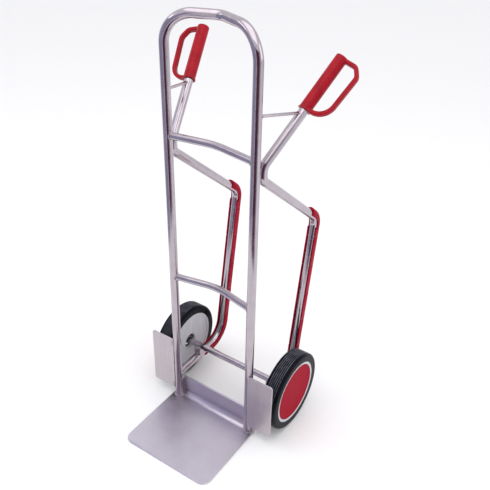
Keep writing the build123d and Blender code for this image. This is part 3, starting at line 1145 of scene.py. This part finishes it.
class Workshop:
    """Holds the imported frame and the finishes, and signs off each piece."""

    def __init__(self, frame: dict, axle: Vector) -> None:
        """Make every finish once.

        Args:
            axle: The right wheel's centre.
        """
        self.frame = frame
        self.tread = TreadPattern()
        self.tube = DrawnAluminium()
        self.weld = WeldAluminium()
        self.toe_sheet = BrushedAluminium(
            "toe_sheet", Grain.ACROSS, light=rgb(0.66, 0.62, 0.69), dark=rgb(0.52, 0.48, 0.55)
        )
        self.wing_sheet = BrushedAluminium(
            "wing_sheet", Grain.UPRIGHT, light=rgb(0.60, 0.55, 0.58), dark=rgb(0.46, 0.41, 0.43)
        )
        self.edge = BareEdge()
        self.rubber = TyreRubber(axle.x, self.tread.pitch, self.tread.half)
        self.cap = MouldedPlastic(
            "cap_red", "cap_plastic", colour=rgb(0.345, 0.003, 0.020), deep=rgb(0.31, 0.002, 0.016),
            rubbed_and_highlit=rgb(0.48, 0.03, 0.05), roughness=(0.3, 0.42), texture=0.00002, index=1.08,
        )
        self.grip = MouldedPlastic(
            "grip_red", "grip_plastic", colour=rgb(0.37, 0.005, 0.015),
            deep=rgb(0.27, 0.002, 0.010),
            rubbed_and_highlit=rgb(0.50, 0.03, 0.05), roughness=(0.2, 0.34), texture=0.00004, index=1.25,
        )
        self.skid = MouldedPlastic(
            "skid_red", "skid_plastic", colour=rgb(0.32, 0.001, 0.018),
            deep=rgb(0.25, 0.001, 0.012),
            rubbed_and_highlit=rgb(0.45, 0.02, 0.05), roughness=(0.2, 0.32), texture=0.00003, index=1.12,
        )
        self.rim = RecessShadedPlastic(
            "rim_grey", "rim_plastic", colour=rgb(0.60, 0.60, 0.63), deep=rgb(0.50, 0.50, 0.53),
            rubbed_and_highlit=rgb(0.7, 0.7, 0.74), roughness=(0.38, 0.5), texture=0.00005, index=1.3,
            axle_y=axle.y, axle_z=axle.z,
        )
        self.zinc = SteelHardware(
            "zinc_plate", "zinc_steel", light=rgb(0.66, 0.67, 0.7), dark=rgb(0.45, 0.46, 0.5),
            roughness=(0.24, 0.38),
        )
        self.ground = SteelHardware(
            "ground_steel", "bearing_steel", light=rgb(0.78, 0.79, 0.8),
            dark=rgb(0.6, 0.61, 0.63), roughness=(0.1, 0.2),
        )
        finishes: tuple[Finish, ...] = (
            self.tube, self.weld, self.toe_sheet, self.wing_sheet, self.edge, self.rubber,
            self.cap, self.grip, self.skid, self.rim, self.zinc, self.ground,
        )
        self.materials = {finish.name: finish.make() for finish in finishes}

    def dress(self, piece: bpy.types.Object, *finishes: Finish) -> bpy.types.Object:
        """Give a piece its finishes, the first over all of it.

        Args:
            piece: The mesh object.
            *finishes: The finishes, in order of their material index.

        Returns:
            The same piece.
        """
        piece.data.materials.clear()
        for finish in finishes:
            piece.data.materials.append(self.materials[finish.name])
        return piece

    def sign_off(self, piece: bpy.types.Object, slot: str, body: str, *nodes: str) -> None:
        """Let a finished piece ride on its body and stand for the nodes it was made from.

        Args:
            piece: The finished piece.
            slot: Not used.
            body: The body that it rides on.
            *nodes: The nodes that it stands for.
        """
        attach(piece, body)
        if nodes:
            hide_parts(*nodes)
        LOG.info("%s: %d faces on %s", piece.name, len(piece.data.polygons), body)

    def sign_off_pair(
        self, piece: bpy.types.Object, finish: Finish, node: str, name: str, body: str = BODY
    ) -> None:
        """Sign off a right-hand piece and its mirror image.

        Args:
            piece: The right-hand piece.
            finish: The finish, whose slot is passed on for both pieces.
            node: The node's name with a star for the side, or nothing.
            name: Both pieces' name with a star for the side.
            body: The body's name, with a star for the side if it has one.
        """
        twin = mirrored(piece, name.replace("*", Side.LEFT.value))
        name_piece(piece, name.replace("*", Side.RIGHT.value))
        for part, side in ((piece, Side.RIGHT), (twin, Side.LEFT)):
            stood_for = [node.replace("*", side.value)] if node else []
            self.sign_off(part, finish.slot, body.replace("*", side.value), *stood_for)

    def sign_off_welds(self, beads: Sequence[bpy.types.Object], name: str) -> None:
        """Join the right side's beads, dress them and sign them off with their mirror image."""
        welds = self.dress(joined(beads, name), self.weld)
        self.sign_off_pair(welds, self.weld, "", f"*_{name}")

    def paint_node(self, node: str, finish: Finish) -> None:
        """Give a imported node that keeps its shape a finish.

        Args:
            node: The node's name.
            finish: The finish for all of it.
        """
        target = self.frame["nodes"][node]
        if not target.material_slots:
            target.data.materials.append(None)
        for slot in target.material_slots:
            slot.material = self.materials[finish.name]


# ---------------------------------------------------------------- main frame
@dataclass
class MainFrame:
    """The inverted-U frame tube and the two bowed crossbars, with their welds."""

    shop: Workshop
    tube_radius: float = 0.0125
    corner_radius: float = 0.075
    top_bow: float = 0.052
    top_bow_radius: float = 0.038
    bar_radius: float = 0.010
    bar_bend_radius: float = 0.180
    bar_bend_step: float = math.radians(1.5)
    bar_facets: int = 48
    upper_bow: float = 0.0225
    lower_bow: float = 0.0275
    weld_radius: float = 0.0022

    def __post_init__(self) -> None:
        """Read the frame tube's place."""
        low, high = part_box("main_frame_tube")
        self.half = high.x - self.tube_radius
        self.depth = low.y + self.tube_radius
        self.foot = low.z
        self.top = high.z - self.tube_radius

    def at(self, x: float, bow: float, z: float) -> Vector:
        """A point in the uprights' plane, or behind it by a bow."""
        return Vector((x, self.depth + bow, z))

    def build_tube(self) -> None:
        """Bend the frame tube."""
        corners = [
            self.at(-self.half, 0, self.foot),
            self.at(-self.half, 0, self.top),
            self.at(0, self.top_bow, self.top),
            self.at(self.half, 0, self.top),
            self.at(self.half, 0, self.foot),
        ]
        radii = [self.corner_radius, self.top_bow_radius, self.corner_radius]
        tube = draw_bar(
            "frame_tube", round_section(self.tube_radius), Route(corners, radii), REARWARDS
        )
        self.shop.dress(tube, self.shop.tube)
        self.shop.sign_off(tube, self.shop.tube.slot, BODY, "main_frame_tube")

    def build_bar(self, node: str, bow: float) -> None:
        """Bend one crossbar and weld both its ends to the uprights.

        Args:
            node: The crossbar's node.
            bow: How far its middle lies behind its ends.
        """
        low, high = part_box(node)
        height = (low.z + high.z) / 2
        places = ((-self.half, 0), (0, bow), (self.half, 0))
        corners = [self.at(x, behind, height) for x, behind in places]
        route = Route(corners, [self.bar_bend_radius], self.bar_bend_step)
        section = round_section(self.bar_radius, self.bar_facets)
        bar = draw_bar(node + "_bent", section, route, REARWARDS)
        self.shop.dress(bar, self.shop.tube)
        self.shop.sign_off(bar, self.shop.tube.slot, BODY, node)
        heading = (corners[2] - corners[1]).normalized()
        joint = cope_line(corners[2], heading, self.bar_radius, corners[2], self.tube_radius)
        bead = bead_on("joint", joint, self.weld_radius, 2 * math.pi * self.bar_radius, closed=True)
        self.shop.sign_off_welds([bead], f"{node}_weld")

    def build(self) -> None:
        """Build the frame and its crossbars."""
        self.build_tube()
        self.build_bar("upper_crossbar", self.upper_bow)
        self.build_bar("lower_crossbar", self.lower_bow)


# ---------------------------------------------------------------- plates
@dataclass
class FootPlates:
    """The toe plate, its gussets and the wing plates, deburred and welded to the uprights."""

    shop: Workshop
    frame: MainFrame
    sheet_edge: float = 0.0007
    wing_edge: float = 0.0006
    foot_weld: float = 0.0030
    seam_weld: float = 0.0022
    wing_weld: float = 0.0024
    wing_weld_length: float = 0.024
    wing_weld_inset: float = 0.003
    wing_weld_sink: float = 0.0008
    wing_weld_reach: float = 0.86
    gusset_weld_inset: float = 0.003
    toe_weld_inset: float = 0.006
    upstand_weld_inset: float = 0.0105
    flat_area: float = 1e-3

    def deburred(
        self, node: str, name: str, sheet: BrushedAluminium, edge: float
    ) -> bpy.types.Object:
        """Copy a plate, dress it and ease its edges, which are left brighter.

        Args:
            node: The plate's node.
            name: The copy's name.
            sheet: The finish of its faces.
            edge: The width of the edges' rounding.

        Returns:
            The dressed plate.
        """
        plate = copy_of_node(self.shop.frame, node, name)
        self.shop.dress(plate, sheet, self.shop.edge)
        ease_edges(plate, edge, flat_area=self.flat_area)
        return plate

    def build_toe(self) -> None:
        """Dress the toe plate."""
        plate = self.deburred("toe_plate", "toe_plate_formed", self.shop.toe_sheet, self.sheet_edge)
        self.shop.sign_off(plate, self.shop.toe_sheet.slot, BODY, "toe_plate")

    def build_gussets(self) -> None:
        """Dress the right gusset with its seams, and mirror them."""
        gusset = self.deburred("right_foot_gusset", "gusset", self.shop.wing_sheet, self.wing_edge)
        self.shop.sign_off_pair(
            gusset, self.shop.wing_sheet, "*_foot_gusset", "*_foot_gusset_cut"
        )
        low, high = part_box("right_foot_gusset")
        radius = self.frame.tube_radius
        foot = self.frame.at(self.frame.half, 0, low.z + self.seam_weld / 2)
        round_foot = ring_line(foot, RIGHTWARDS, REARWARDS, radius)
        rear = high.y - self.gusset_weld_inset
        toe = low.y + self.toe_weld_inset
        upstand = low.y + self.upstand_weld_inset
        spans = (
            ((low.x, rear, low.z), (low.x, rear, high.z)),
            ((high.x, high.y, low.z), (high.x, toe, low.z)),
            ((high.x, upstand, low.z), (high.x, upstand, high.z)),
        )
        seams = [bead_on("foot", round_foot, self.foot_weld, 2 * math.pi * radius, closed=True)]
        seams += [seam(Vector(start), Vector(end), self.seam_weld) for start, end in spans]
        self.shop.sign_off_welds(seams, "foot_welds")

    def build_wings(self) -> None:
        """Dress the right wing plate with its two welds, and mirror them."""
        wing = self.deburred("right_wing_plate", "wing", self.shop.wing_sheet, self.wing_edge)
        self.shop.sign_off_pair(wing, self.shop.wing_sheet, "*_wing_plate", "*_wing_plate_cut")
        low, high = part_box("right_wing_plate")
        x = self.frame.half + self.frame.tube_radius * self.wing_weld_reach
        y = low.y + self.wing_weld_sink
        top = high.z - self.wing_weld_inset
        bottom = low.z + self.wing_weld_inset
        spans = (
            (top, top - self.wing_weld_length),
            (bottom + self.wing_weld_length, bottom),
        )
        seams = [seam(Vector((x, y, a)), Vector((x, y, b)), self.wing_weld) for a, b in spans]
        self.shop.sign_off_welds(seams, "wing_welds")

    def build(self) -> None:
        """Build all the plates."""
        self.build_toe()
        self.build_gussets()
        self.build_wings()


# ---------------------------------------------------------------- side tubes
@dataclass
class SideTube:
    """The bent side tube with its brace rod and welds, drawn on the right and mirrored."""

    shop: Workshop
    frame: MainFrame
    offset: float = 0.006
    knee_top: float = 0.906
    knee_bottom: float = 0.870
    knee_radius: float = 0.032
    elbow: Point = (0.3355, 0.620)
    elbow_radius: float = 0.042
    lower_bend_y: float = 0.2525
    lower_bend_radius: float = 0.072
    run_height: float = 0.087
    run_front: float = 0.0145
    handle_length: float = 0.330
    grip_cap: float = 0.005
    slope: float = math.radians(42.7)
    splay: float = math.radians(16.8)
    brace_radius: float = 0.004
    brace_foot: Point = (0.0185, 1.043)
    brace_share: float = 0.495
    brace_facets: int = 32
    brace_weld: float = 0.00168
    brace_weld_sink: float = 0.93
    brace_weld_girth: float = 1.05
    end_weld: float = 0.0021
    knee_weld: float = 0.002625
    knee_weld_offset: float = 0.00336
    knee_weld_length: float = 0.046

    def __post_init__(self) -> None:
        """Work out the tube's corners."""
        self.radius = self.frame.tube_radius
        self.x = self.frame.half + self.offset
        self.knee_y = self.frame.depth + math.sqrt((2 * self.radius) ** 2 - self.offset**2)
        flat = math.cos(self.slope)
        self.handle = Vector(
            (flat * math.sin(self.splay), flat * math.cos(self.splay), math.sin(self.slope))
        )
        self.knee = self.at(self.knee_y, self.knee_top)
        self.knee_low = self.at(self.knee_y, self.knee_bottom)
        self.elbow_point = self.at(*self.elbow)
        self.bend_point = self.at(self.lower_bend_y, self.run_height)

    def at(self, y: float, z: float) -> Vector:
        """A point in the side tube's upright plane."""
        return Vector((self.x, y, z))

    def build_tube(self) -> None:
        """Bend the side tube."""
        corners = [
            self.knee + self.handle * (self.handle_length - self.grip_cap),
            self.knee,
            self.knee_low,
            self.elbow_point,
            self.bend_point,
            self.at(self.run_front, self.run_height),
        ]
        radii = [self.knee_radius, self.knee_radius, self.elbow_radius, self.lower_bend_radius]
        tube = draw_bar("side_tube", round_section(self.radius), Route(corners, radii), RIGHTWARDS)
        self.shop.dress(tube, self.shop.tube)
        self.shop.sign_off_pair(tube, self.shop.tube, "*_side_tube", "*_side_tube_bent")

    def build_brace(self) -> None:
        """Run the brace rod from the upright to the handle."""
        foot = self.at(*self.brace_foot)
        head = self.knee + self.handle * (self.handle_length * self.brace_share)
        heading = (head - foot).normalized()
        section = round_section(self.brace_radius, self.brace_facets)
        rod = draw_bar("brace", section, Route([foot, head]), RIGHTWARDS)
        self.shop.dress(rod, self.shop.tube)
        self.shop.sign_off_pair(rod, self.shop.tube, "*_brace_rod", "*_brace_rod_cut")
        reach = self.radius / heading.cross(self.handle).length
        collar = head - heading * reach * self.brace_weld_sink
        post = self.frame.at(self.frame.half, 0, foot.z)
        ends = (
            cope_line(foot, -heading, self.brace_radius, post, self.radius),
            ring_line(collar, *square_to(heading), self.brace_radius * self.brace_weld_girth),
        )
        length = 2 * math.pi * self.brace_radius
        rings = [bead_on("ring", line, self.brace_weld, length, closed=True) for line in ends]
        self.shop.sign_off_welds(rings, "brace_welds")

    def build_welds(self) -> None:
        """Weld the knee to the upright on both sides, and the lower run's end."""
        middle = (self.knee_top + self.knee_bottom) / 2
        upright = self.frame.at(self.frame.half, 0, middle)
        bridge = self.at(self.knee_y, middle) - upright
        touch = upright + bridge / 2
        sideways = bridge.cross(UPWARDS).normalized()
        rise = Vector((0, 0, self.knee_weld_length / 2))
        beads = []
        for sign in (-1, 1):
            spot = touch + sideways * sign * self.knee_weld_offset
            beads.append(seam(spot - rise, spot + rise, self.knee_weld))
        end = self.at(self.run_front, self.run_height)
        post = self.frame.at(self.frame.half, 0, self.run_height)
        joint = cope_line(end, -REARWARDS, self.radius, post, self.radius)
        length = 2 * math.pi * self.radius
        beads.append(bead_on("run_end", joint, self.end_weld, length, closed=True))
        self.shop.sign_off_welds(beads, "side_welds")

    def build(self) -> None:
        """Build the tube, its brace and its welds."""
        self.build_tube()
        self.build_brace()
        self.build_welds()


# ---------------------------------------------------------------- skid covers
@dataclass
class SkidCovers:
    """The clip-on red channels over the rear of the side tube, with eased edges."""

    shop: Workshop
    edge: float = 0.0006
    strips: int = 4

    def build(self) -> None:
        """Clip on the elbow cover, the straight strips and the lower bend's cover."""
        straight = [f"skid_strip_{number + 1}" for number in range(self.strips)]
        for node in ("skid_elbow", *straight, "skid_lower_bend"):
            cover = copy_of_node(self.shop.frame, f"{Side.RIGHT.value}_{node}", node)
            self.shop.dress(cover, self.shop.skid)
            ease_edges(cover, self.edge)
            self.shop.sign_off_pair(cover, self.shop.skid, f"*_{node}", f"*_{node}_cover")


# ---------------------------------------------------------------- grips
@dataclass
class Grips:
    """The moulded D-grips, cast in one piece with their finger guards."""

    shop: Workshop
    voxel: float = 0.0009
    ease: float = 0.5
    rounds: int = 6
    smooth_angle: float = math.radians(60)

    def build(self) -> None:
        """Mould the right grip and mirror it."""
        grip = copy_of_node(self.shop.frame, "right_grip", "grip")
        add_modifier(grip, "REMESH", mode="VOXEL", voxel_size=self.voxel, adaptivity=0.0)
        add_modifier(grip, "SMOOTH", factor=self.ease, iterations=self.rounds)
        smooth(grip, self.smooth_angle)
        self.shop.dress(grip, self.shop.grip)
        self.shop.sign_off_pair(grip, self.shop.grip, "*_grip", "*_grip_moulded")


# ---------------------------------------------------------------- axle and wheels
@dataclass
class Axle:
    """The axle tube across the truck and the saddles that hold it."""

    shop: Workshop
    centre: Vector
    facets: int = 48
    tube_edge: float = 0.0008
    saddle_edge: float = 0.0006
    seam_weld: float = 0.0020
    seam_inset: float = 0.002
    seam_rise: float = 0.010
    seam_drop: float = 0.004

    def build(self) -> None:
        """Build the tube, the saddles and their seams."""
        low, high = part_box("axle_tube")
        radius = (high.z - low.z) / 2
        ends = [Vector((x, self.centre.y, self.centre.z)) for x in (low.x, high.x)]
        tube = draw_bar("axle_sleeve", round_section(radius, self.facets), Route(ends), REARWARDS)
        ease_edges(tube, self.tube_edge)
        self.shop.dress(tube, self.shop.tube)
        self.shop.sign_off(tube, self.shop.tube.slot, BODY, "axle_tube")
        saddle = copy_of_node(self.shop.frame, "right_axle_saddle", "saddle")
        self.shop.dress(saddle, self.shop.wing_sheet, self.shop.edge)
        ease_edges(saddle, self.saddle_edge)
        self.shop.sign_off_pair(
            saddle, self.shop.wing_sheet, "*_axle_saddle", "*_axle_saddle_cut"
        )
        low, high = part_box("right_axle_saddle")
        left, right = low.x + self.seam_inset, high.x - self.seam_inset
        beads = []
        for y in (low.y, high.y):
            for z in (low.z + self.seam_rise, high.z - self.seam_drop):
                line = straight_line(Vector((left, y, z)), Vector((right, y, z)))
                beads.append(bead_on("seam", line, self.seam_weld, high.x - low.x))
        self.shop.sign_off_welds(beads, "saddle_welds")


@dataclass
class Wheel:
    """A solid tyre on a moulded rim with a red cap, turned on the right and mirrored."""

    shop: Workshop
    centre: Vector
    steps: int = 144
    tyre_half: float = 0.027
    shoulder: float = 0.009
    arc_points: int = 9
    groove_top: float = 0.0030
    groove_bottom: float = 0.0056
    groove_depth: float = 0.0006
    rib_shares: tuple[float, ...] = (-0.5, -0.36, -0.18, 0.0, 0.18, 0.36)
    rib_crown: float = 2.6
    rim_inset: float = 0.0015
    tyre_depth: float = 0.027
    flange_rise: float = 0.0025
    flange_width: float = 0.003
    barrel: float = 0.006
    web: float = 0.005
    web_inset: float = 0.003
    hub_radius: float = 0.030
    recess_radius: float = 0.025
    recess_depth: float = 0.0085
    bearing_radius: float = 0.0175
    bearing_width: float = 0.011
    bearing_spacing: float = 0.008
    hub_shoulder: float = 0.002
    cap_gap: float = 0.0005
    cap_thickness: float = 0.0025
    cap_inset: float = 0.0005
    cap_clip: float = 0.006
    cap_border: float = 0.004
    cap_slope: float = 0.0015
    cap_dish: float = 0.0006
    cap_rounding: tuple[float, float, float] = (0.0004, 0.0008, 0.0012)
    lip: float = 0.0009
    soft: float = 0.0015
    rib_count: int = 8
    rib_thickness: float = 0.004
    rib_overlap: float = 0.002
    rib_edge: float = 0.0006

    def __post_init__(self) -> None:
        """Work out the radii from the wheel's."""
        self.radius = self.centre.z
        self.seat = self.radius - self.tyre_depth
        self.flange = self.seat + self.flange_rise
        self.rim_half = self.tyre_half - self.rim_inset
        self.barrel_radius = self.seat - self.barrel

    def complete(self, piece: bpy.types.Object, finish: Finish, node: str, name: str) -> None:
        """Move a turned piece out to the right wheel, dress it and sign it off.

        Args:
            piece: The piece, centred on the origin.
            finish: Its finish.
            node: The node it stands for, with a star for the side.
            name: Its name with a star for the side.
        """
        piece.data.transform(Matrix.Translation(self.centre))
        self.shop.dress(piece, finish)
        self.shop.sign_off_pair(piece, finish, node, name, body="*_wheel")

    def tyre_outline(self) -> list[Point]:
        """The tyre's section: rounded shoulders, crowned ribs round the tread, and its seat.

        Returns:
            The outline as points of place along the axle and radius.
        """
        half, tread = self.tyre_half, self.shop.tread.half
        pitch, depth = self.shop.tread.pitch, self.shop.tread.depth
        groove, deep = self.groove_depth, half - self.groove_depth
        start, end = self.groove_top, self.groove_bottom
        wall = ((half, 0), (half, start), (deep, start + groove), (deep, end - groove), (half, end))
        shoulder = self.radius - self.shoulder
        rings = [(x, shoulder - drop) for x, drop in wall]
        left = arc((-tread, shoulder), self.shoulder, math.pi, math.pi / 2, self.arc_points)
        right = arc((tread, shoulder), self.shoulder, math.pi / 2, 0, self.arc_points)
        outline: list[Point] = [(-half, self.flange), *((-x, r) for x, r in reversed(rings))]
        outline += left[1:-1]
        for number in range(self.shop.tread.ribs):
            middle = -tread + (number + 0.5) * pitch
            for share in self.rib_shares:
                drop = depth * abs(2 * share) ** self.rib_crown
                outline.append((middle + share * pitch, self.radius - drop))
        outline += [(tread, self.radius - depth), *right[1:-1]]
        inner = self.rim_half - self.flange_width
        outline += [
            *rings, (half, self.flange), (inner, self.flange),
            (inner, self.seat), (-inner, self.seat), (-inner, self.flange),
        ]
        return outline

    def build_tyre(self) -> None:
        """Mould the tyre."""
        tyre = turn_on_lathe("tyre", self.tyre_outline(), self.steps)
        self.complete(tyre, self.shop.rubber, "*_tyre", "*_tyre_moulded")

    def rim_outline(self) -> list[Point]:
        """The rim's section with its barrel, web, hub and bearing seats.

        Returns:
            The outline as points of place along the axle and radius.
        """
        half, inner = self.rim_half, self.rim_half - self.flange_width
        web_in = -half + self.web_inset
        web_out = web_in + self.web
        first = web_in + self.recess_depth
        second = first + self.bearing_width
        third = second + self.bearing_spacing
        last = third + self.bearing_width
        shoulder = self.bearing_radius - self.hub_shoulder
        lip, soft = self.lip, self.soft
        return rounded([
            (-half, self.barrel_radius, lip), (-half, self.flange, lip), (-inner, self.flange, 0),
            (-inner, self.seat, 0), (inner, self.seat, 0), (inner, self.flange, 0),
            (half, self.flange, lip), (half, self.barrel_radius, lip),
            (web_out, self.barrel_radius, soft), (web_out, self.hub_radius, soft),
            (last, self.hub_radius, lip), (last, self.bearing_radius, 0),
            (third, self.bearing_radius, 0), (third, shoulder, 0), (second, shoulder, 0),
            (second, self.bearing_radius, 0), (first, self.bearing_radius, 0),
            (first, self.recess_radius, soft), (web_in, self.recess_radius, lip),
            (web_in, self.barrel_radius, soft),
        ])

    def build_rim(self) -> None:
        """Mould the rim with its ribs."""
        rim = turn_on_lathe("rim", self.rim_outline(), self.steps)
        web_out = -self.rim_half + self.web_inset + self.web
        top = web_out + self.recess_depth + self.bearing_width
        deselect()
        bpy.ops.mesh.primitive_cube_add(size=1)
        rib = name_piece(bpy.context.object, "rib")
        reach = self.barrel_radius - self.hub_radius + self.rib_overlap
        size = Vector((top - web_out, self.rib_thickness, reach))
        middle = Vector(((top + web_out) / 2, 0, (self.barrel_radius + self.hub_radius) / 2))
        place_vertices(rib, lambda i, co: middle + co * size)
        ease_edges(rib, self.rib_edge)
        ribs = []
        for number in range(self.rib_count):
            spoke = copied(rib, f"rib_{number}")
            spoke.data.transform(Matrix.Rotation(2 * math.pi * number / self.rib_count, 4, "X"))
            ribs.append(spoke)
        bpy.data.objects.remove(rib)
        rim = joined([rim, *ribs], "rim")
        self.complete(rim, self.shop.rim, "*_wheel_rim", "*_rim_moulded")

    def build_cap(self) -> None:
        """Mould the hub cap: a flat disc with a raised rim and a shallow middle."""
        outer = self.barrel_radius - self.cap_gap
        face = self.rim_half - self.cap_inset
        back = face - self.cap_thickness
        clip, wall, skirt = back - self.cap_clip, outer - self.cap_thickness, outer + self.cap_gap
        dish, dish_radius = face - self.cap_dish, outer - self.cap_border - self.cap_slope
        fine, soft, full = self.cap_rounding
        outline = rounded([
            (back, 0, 0), (back, wall, 0), (clip, wall, fine), (clip, skirt, soft),
            (back, skirt, 0), (back, outer, 0), (face, outer, full),
            (face, outer - self.cap_border, soft), (dish, dish_radius, soft), (dish, 0, 0),
        ])
        cap = turn_on_lathe("cap", outline, self.steps)
        self.complete(cap, self.shop.cap, "*_hub_cap", "*_hub_cap_moulded")

    def build(self) -> None:
        """Build the wheel's outer pieces."""
        self.build_tyre()
        self.build_rim()
        self.build_cap()


def dress_hardware(shop: Workshop) -> None:
    """Give the bearings, washers, spacers, rings and axle rod their steel.

    Args:
        shop: The workshop that holds the frame and the finishes.
    """
    for node in sorted(shop.frame["nodes"]):
        if node.endswith(("race", "balls")):
            shop.paint_node(node, shop.ground)
        elif node == "axle_rod" or node.endswith(("washer", "sleeve", "ring")):
            shop.paint_node(node, shop.zinc)


# ---------------------------------------------------------------- studio
@dataclass(frozen=True)
class Softbox:
    """A square lamp turned towards a point."""

    name: str
    place: tuple[float, float, float]
    aim: tuple[float, float, float]
    size: tuple[float, float]
    power: float

    def build(self) -> None:
        """Hang the lamp."""
        lamp = bpy.data.lights.new(self.name, "AREA")
        lamp.shape = "RECTANGLE"
        lamp.size, lamp.size_y = self.size
        lamp.energy = self.power
        holder = bpy.data.objects.new(self.name, lamp)
        bpy.context.scene.collection.objects.link(holder)
        holder.location = self.place
        heading = Vector(self.aim) - Vector(self.place)
        holder.rotation_euler = heading.to_track_quat("-Z", "Y").to_euler()


@dataclass(frozen=True)
class Panel:
    """An upright studio panel that shows only in reflections, as a streak on the tubes.

    The azimuth is in degrees from the load side towards +X.
    """

    name: str
    azimuth: float
    spread: float
    glow: tuple[float, float, float, float]
    distance: float = 1.05
    height: float = 1.6
    facets: int = 24
    unevenness: tuple[float, float] = (0.8, 1.2)

    def build(self) -> None:
        """Bend a sheet round the truck at its azimuth."""
        deselect()
        bpy.ops.mesh.primitive_grid_add(x_subdivisions=self.facets, y_subdivisions=1, size=2)
        sheet = name_piece(bpy.context.object, self.name)

        def curve(_: int, co: Vector) -> Vector:
            """Place one corner of the sheet.

            Args:
                co: The corner's place on the flat sheet.

            Returns:
                Its place on the bent sheet.
            """
            turn = math.radians(self.azimuth + self.spread / 2 * co.x)
            rise = (co.y + 1) / 2 * self.height
            return Vector((math.sin(turn) * self.distance, -math.cos(turn) * self.distance, rise))

        place_vertices(sheet, curve)
        graph = Graph(self.name + "_surface")
        tint = graph.noise(graph.place(), scale=3.0, detail=1.0)
        low, high = ([factor * value for value in self.glow] for factor in self.unevenness)
        surface = graph.finish(
            Base_Color=rgb(0, 0, 0), Roughness=1.0, Specular_IOR_Level=0.0,
            Emission_Color=graph.blend(tint, low, high), Emission_Strength=1.0,
        )
        sheet.data.materials.append(surface)
        for ray in ("camera", "diffuse", "transmission", "volume_scatter", "shadow"):
            setattr(sheet, f"visible_{ray}", False)


@dataclass
class Studio:
    """The pale floor, the soft light and the camera."""

    azimuth: float = math.radians(33.60)
    elevation: float = math.radians(33.20)
    roll: float = math.radians(1.33)
    lens: float = 50.765
    position: tuple[float, float, float] = (0.93866, -1.23452, 1.66180)
    sensor: float = 36.0
    floor_size: float = 60.0
    floor_cuts: int = 3
    sky: tuple = rgb(0.97, 0.97, 1.0)
    ambient: float = 1.0

    def build_floor(self) -> None:
        """Lay the floor."""
        deselect()
        bpy.ops.mesh.primitive_plane_add(size=self.floor_size)
        floor = name_piece(bpy.context.object, "floor")
        with editing(floor):
            bpy.ops.mesh.subdivide(number_cuts=self.floor_cuts)
        floor.data.materials.append(PaleFloor().make())

    def build_light(self) -> None:
        """Hang the softboxes, stand the reflection panels and set the ambient light."""
        lamps = (
            Softbox("top_box", (0.2, -0.3, 3.0), aim=(0, 0, 0.5), size=(2.6, 2.6), power=22),
            Softbox("left_box", (-2.6, -1.5, 1.9), aim=(0, 0, 0.6), size=(1.4, 2.0), power=12),
            Softbox("right_box", (2.4, 0.9, 1.8), aim=(0, 0.1, 0.5), size=(1.2, 1.8), power=8),
        )
        panels = (
            Panel("lavender_panel_left", azimuth=-42, spread=84, glow=rgb(0.42, 0.42, 0.58)),
            Panel("dark_panel_front", azimuth=34, spread=56, glow=rgb(0.13, 0.055, 0.085)),
            Panel("grey_panel_right", azimuth=71, spread=16, glow=rgb(0.45, 0.42, 0.5)),
        )
        for item in (*lamps, *panels):
            item.build()
        world = bpy.data.worlds.new("studio")
        world.use_nodes = True
        background = world.node_tree.nodes["Background"]
        background.inputs["Color"].default_value = self.sky
        background.inputs["Strength"].default_value = self.ambient
        bpy.context.scene.world = world
        bpy.context.scene.view_settings.view_transform = "Standard"

    def build_camera(self) -> None:
        """Set the camera up at its angle and distance."""
        data = bpy.data.cameras.new("camera")
        data.lens = self.lens
        data.sensor_width = self.sensor
        camera = bpy.data.objects.new("camera", data)
        bpy.context.scene.collection.objects.link(camera)
        level = math.cos(self.elevation)
        back = Vector((math.sin(self.azimuth) * level, -math.cos(self.azimuth) * level,
                       math.sin(self.elevation)))
        right = Vector((math.cos(self.azimuth), math.sin(self.azimuth), 0))
        up = back.cross(right)
        tilted_right = right * math.cos(self.roll) + up * math.sin(self.roll)
        tilted_up = up * math.cos(self.roll) - right * math.sin(self.roll)
        turn = Matrix((tilted_right, tilted_up, back)).transposed().to_4x4()
        camera.matrix_world = Matrix.Translation(self.position) @ turn
        bpy.context.scene.camera = camera

    def build(self) -> None:
        """Set the whole studio up."""
        self.build_floor()
        self.build_light()
        self.build_camera()


def build_truck(frame: dict) -> None:
    """Build every sub-assembly of the truck and the studio round it.
    """
    joint = next(j for j in frame["joints"] if j["name"] == "right_wheel_spin")
    wheel_centre = Vector(joint["pos_m"])
    shop = Workshop(frame, wheel_centre)
    main_frame = MainFrame(shop)
    main_frame.build()
    FootPlates(shop, main_frame).build()
    SideTube(shop, main_frame).build()
    SkidCovers(shop).build()
    Grips(shop).build()
    Axle(shop, wheel_centre).build()
    Wheel(shop, wheel_centre).build()
    dress_hardware(shop)
    Studio().build()


def main() -> None:
    """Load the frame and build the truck."""
    logging.basicConfig(level=logging.INFO, format="%(name)s: %(message)s")
    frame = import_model()
    build_truck(frame)


if __name__ == "__main__":
    main()
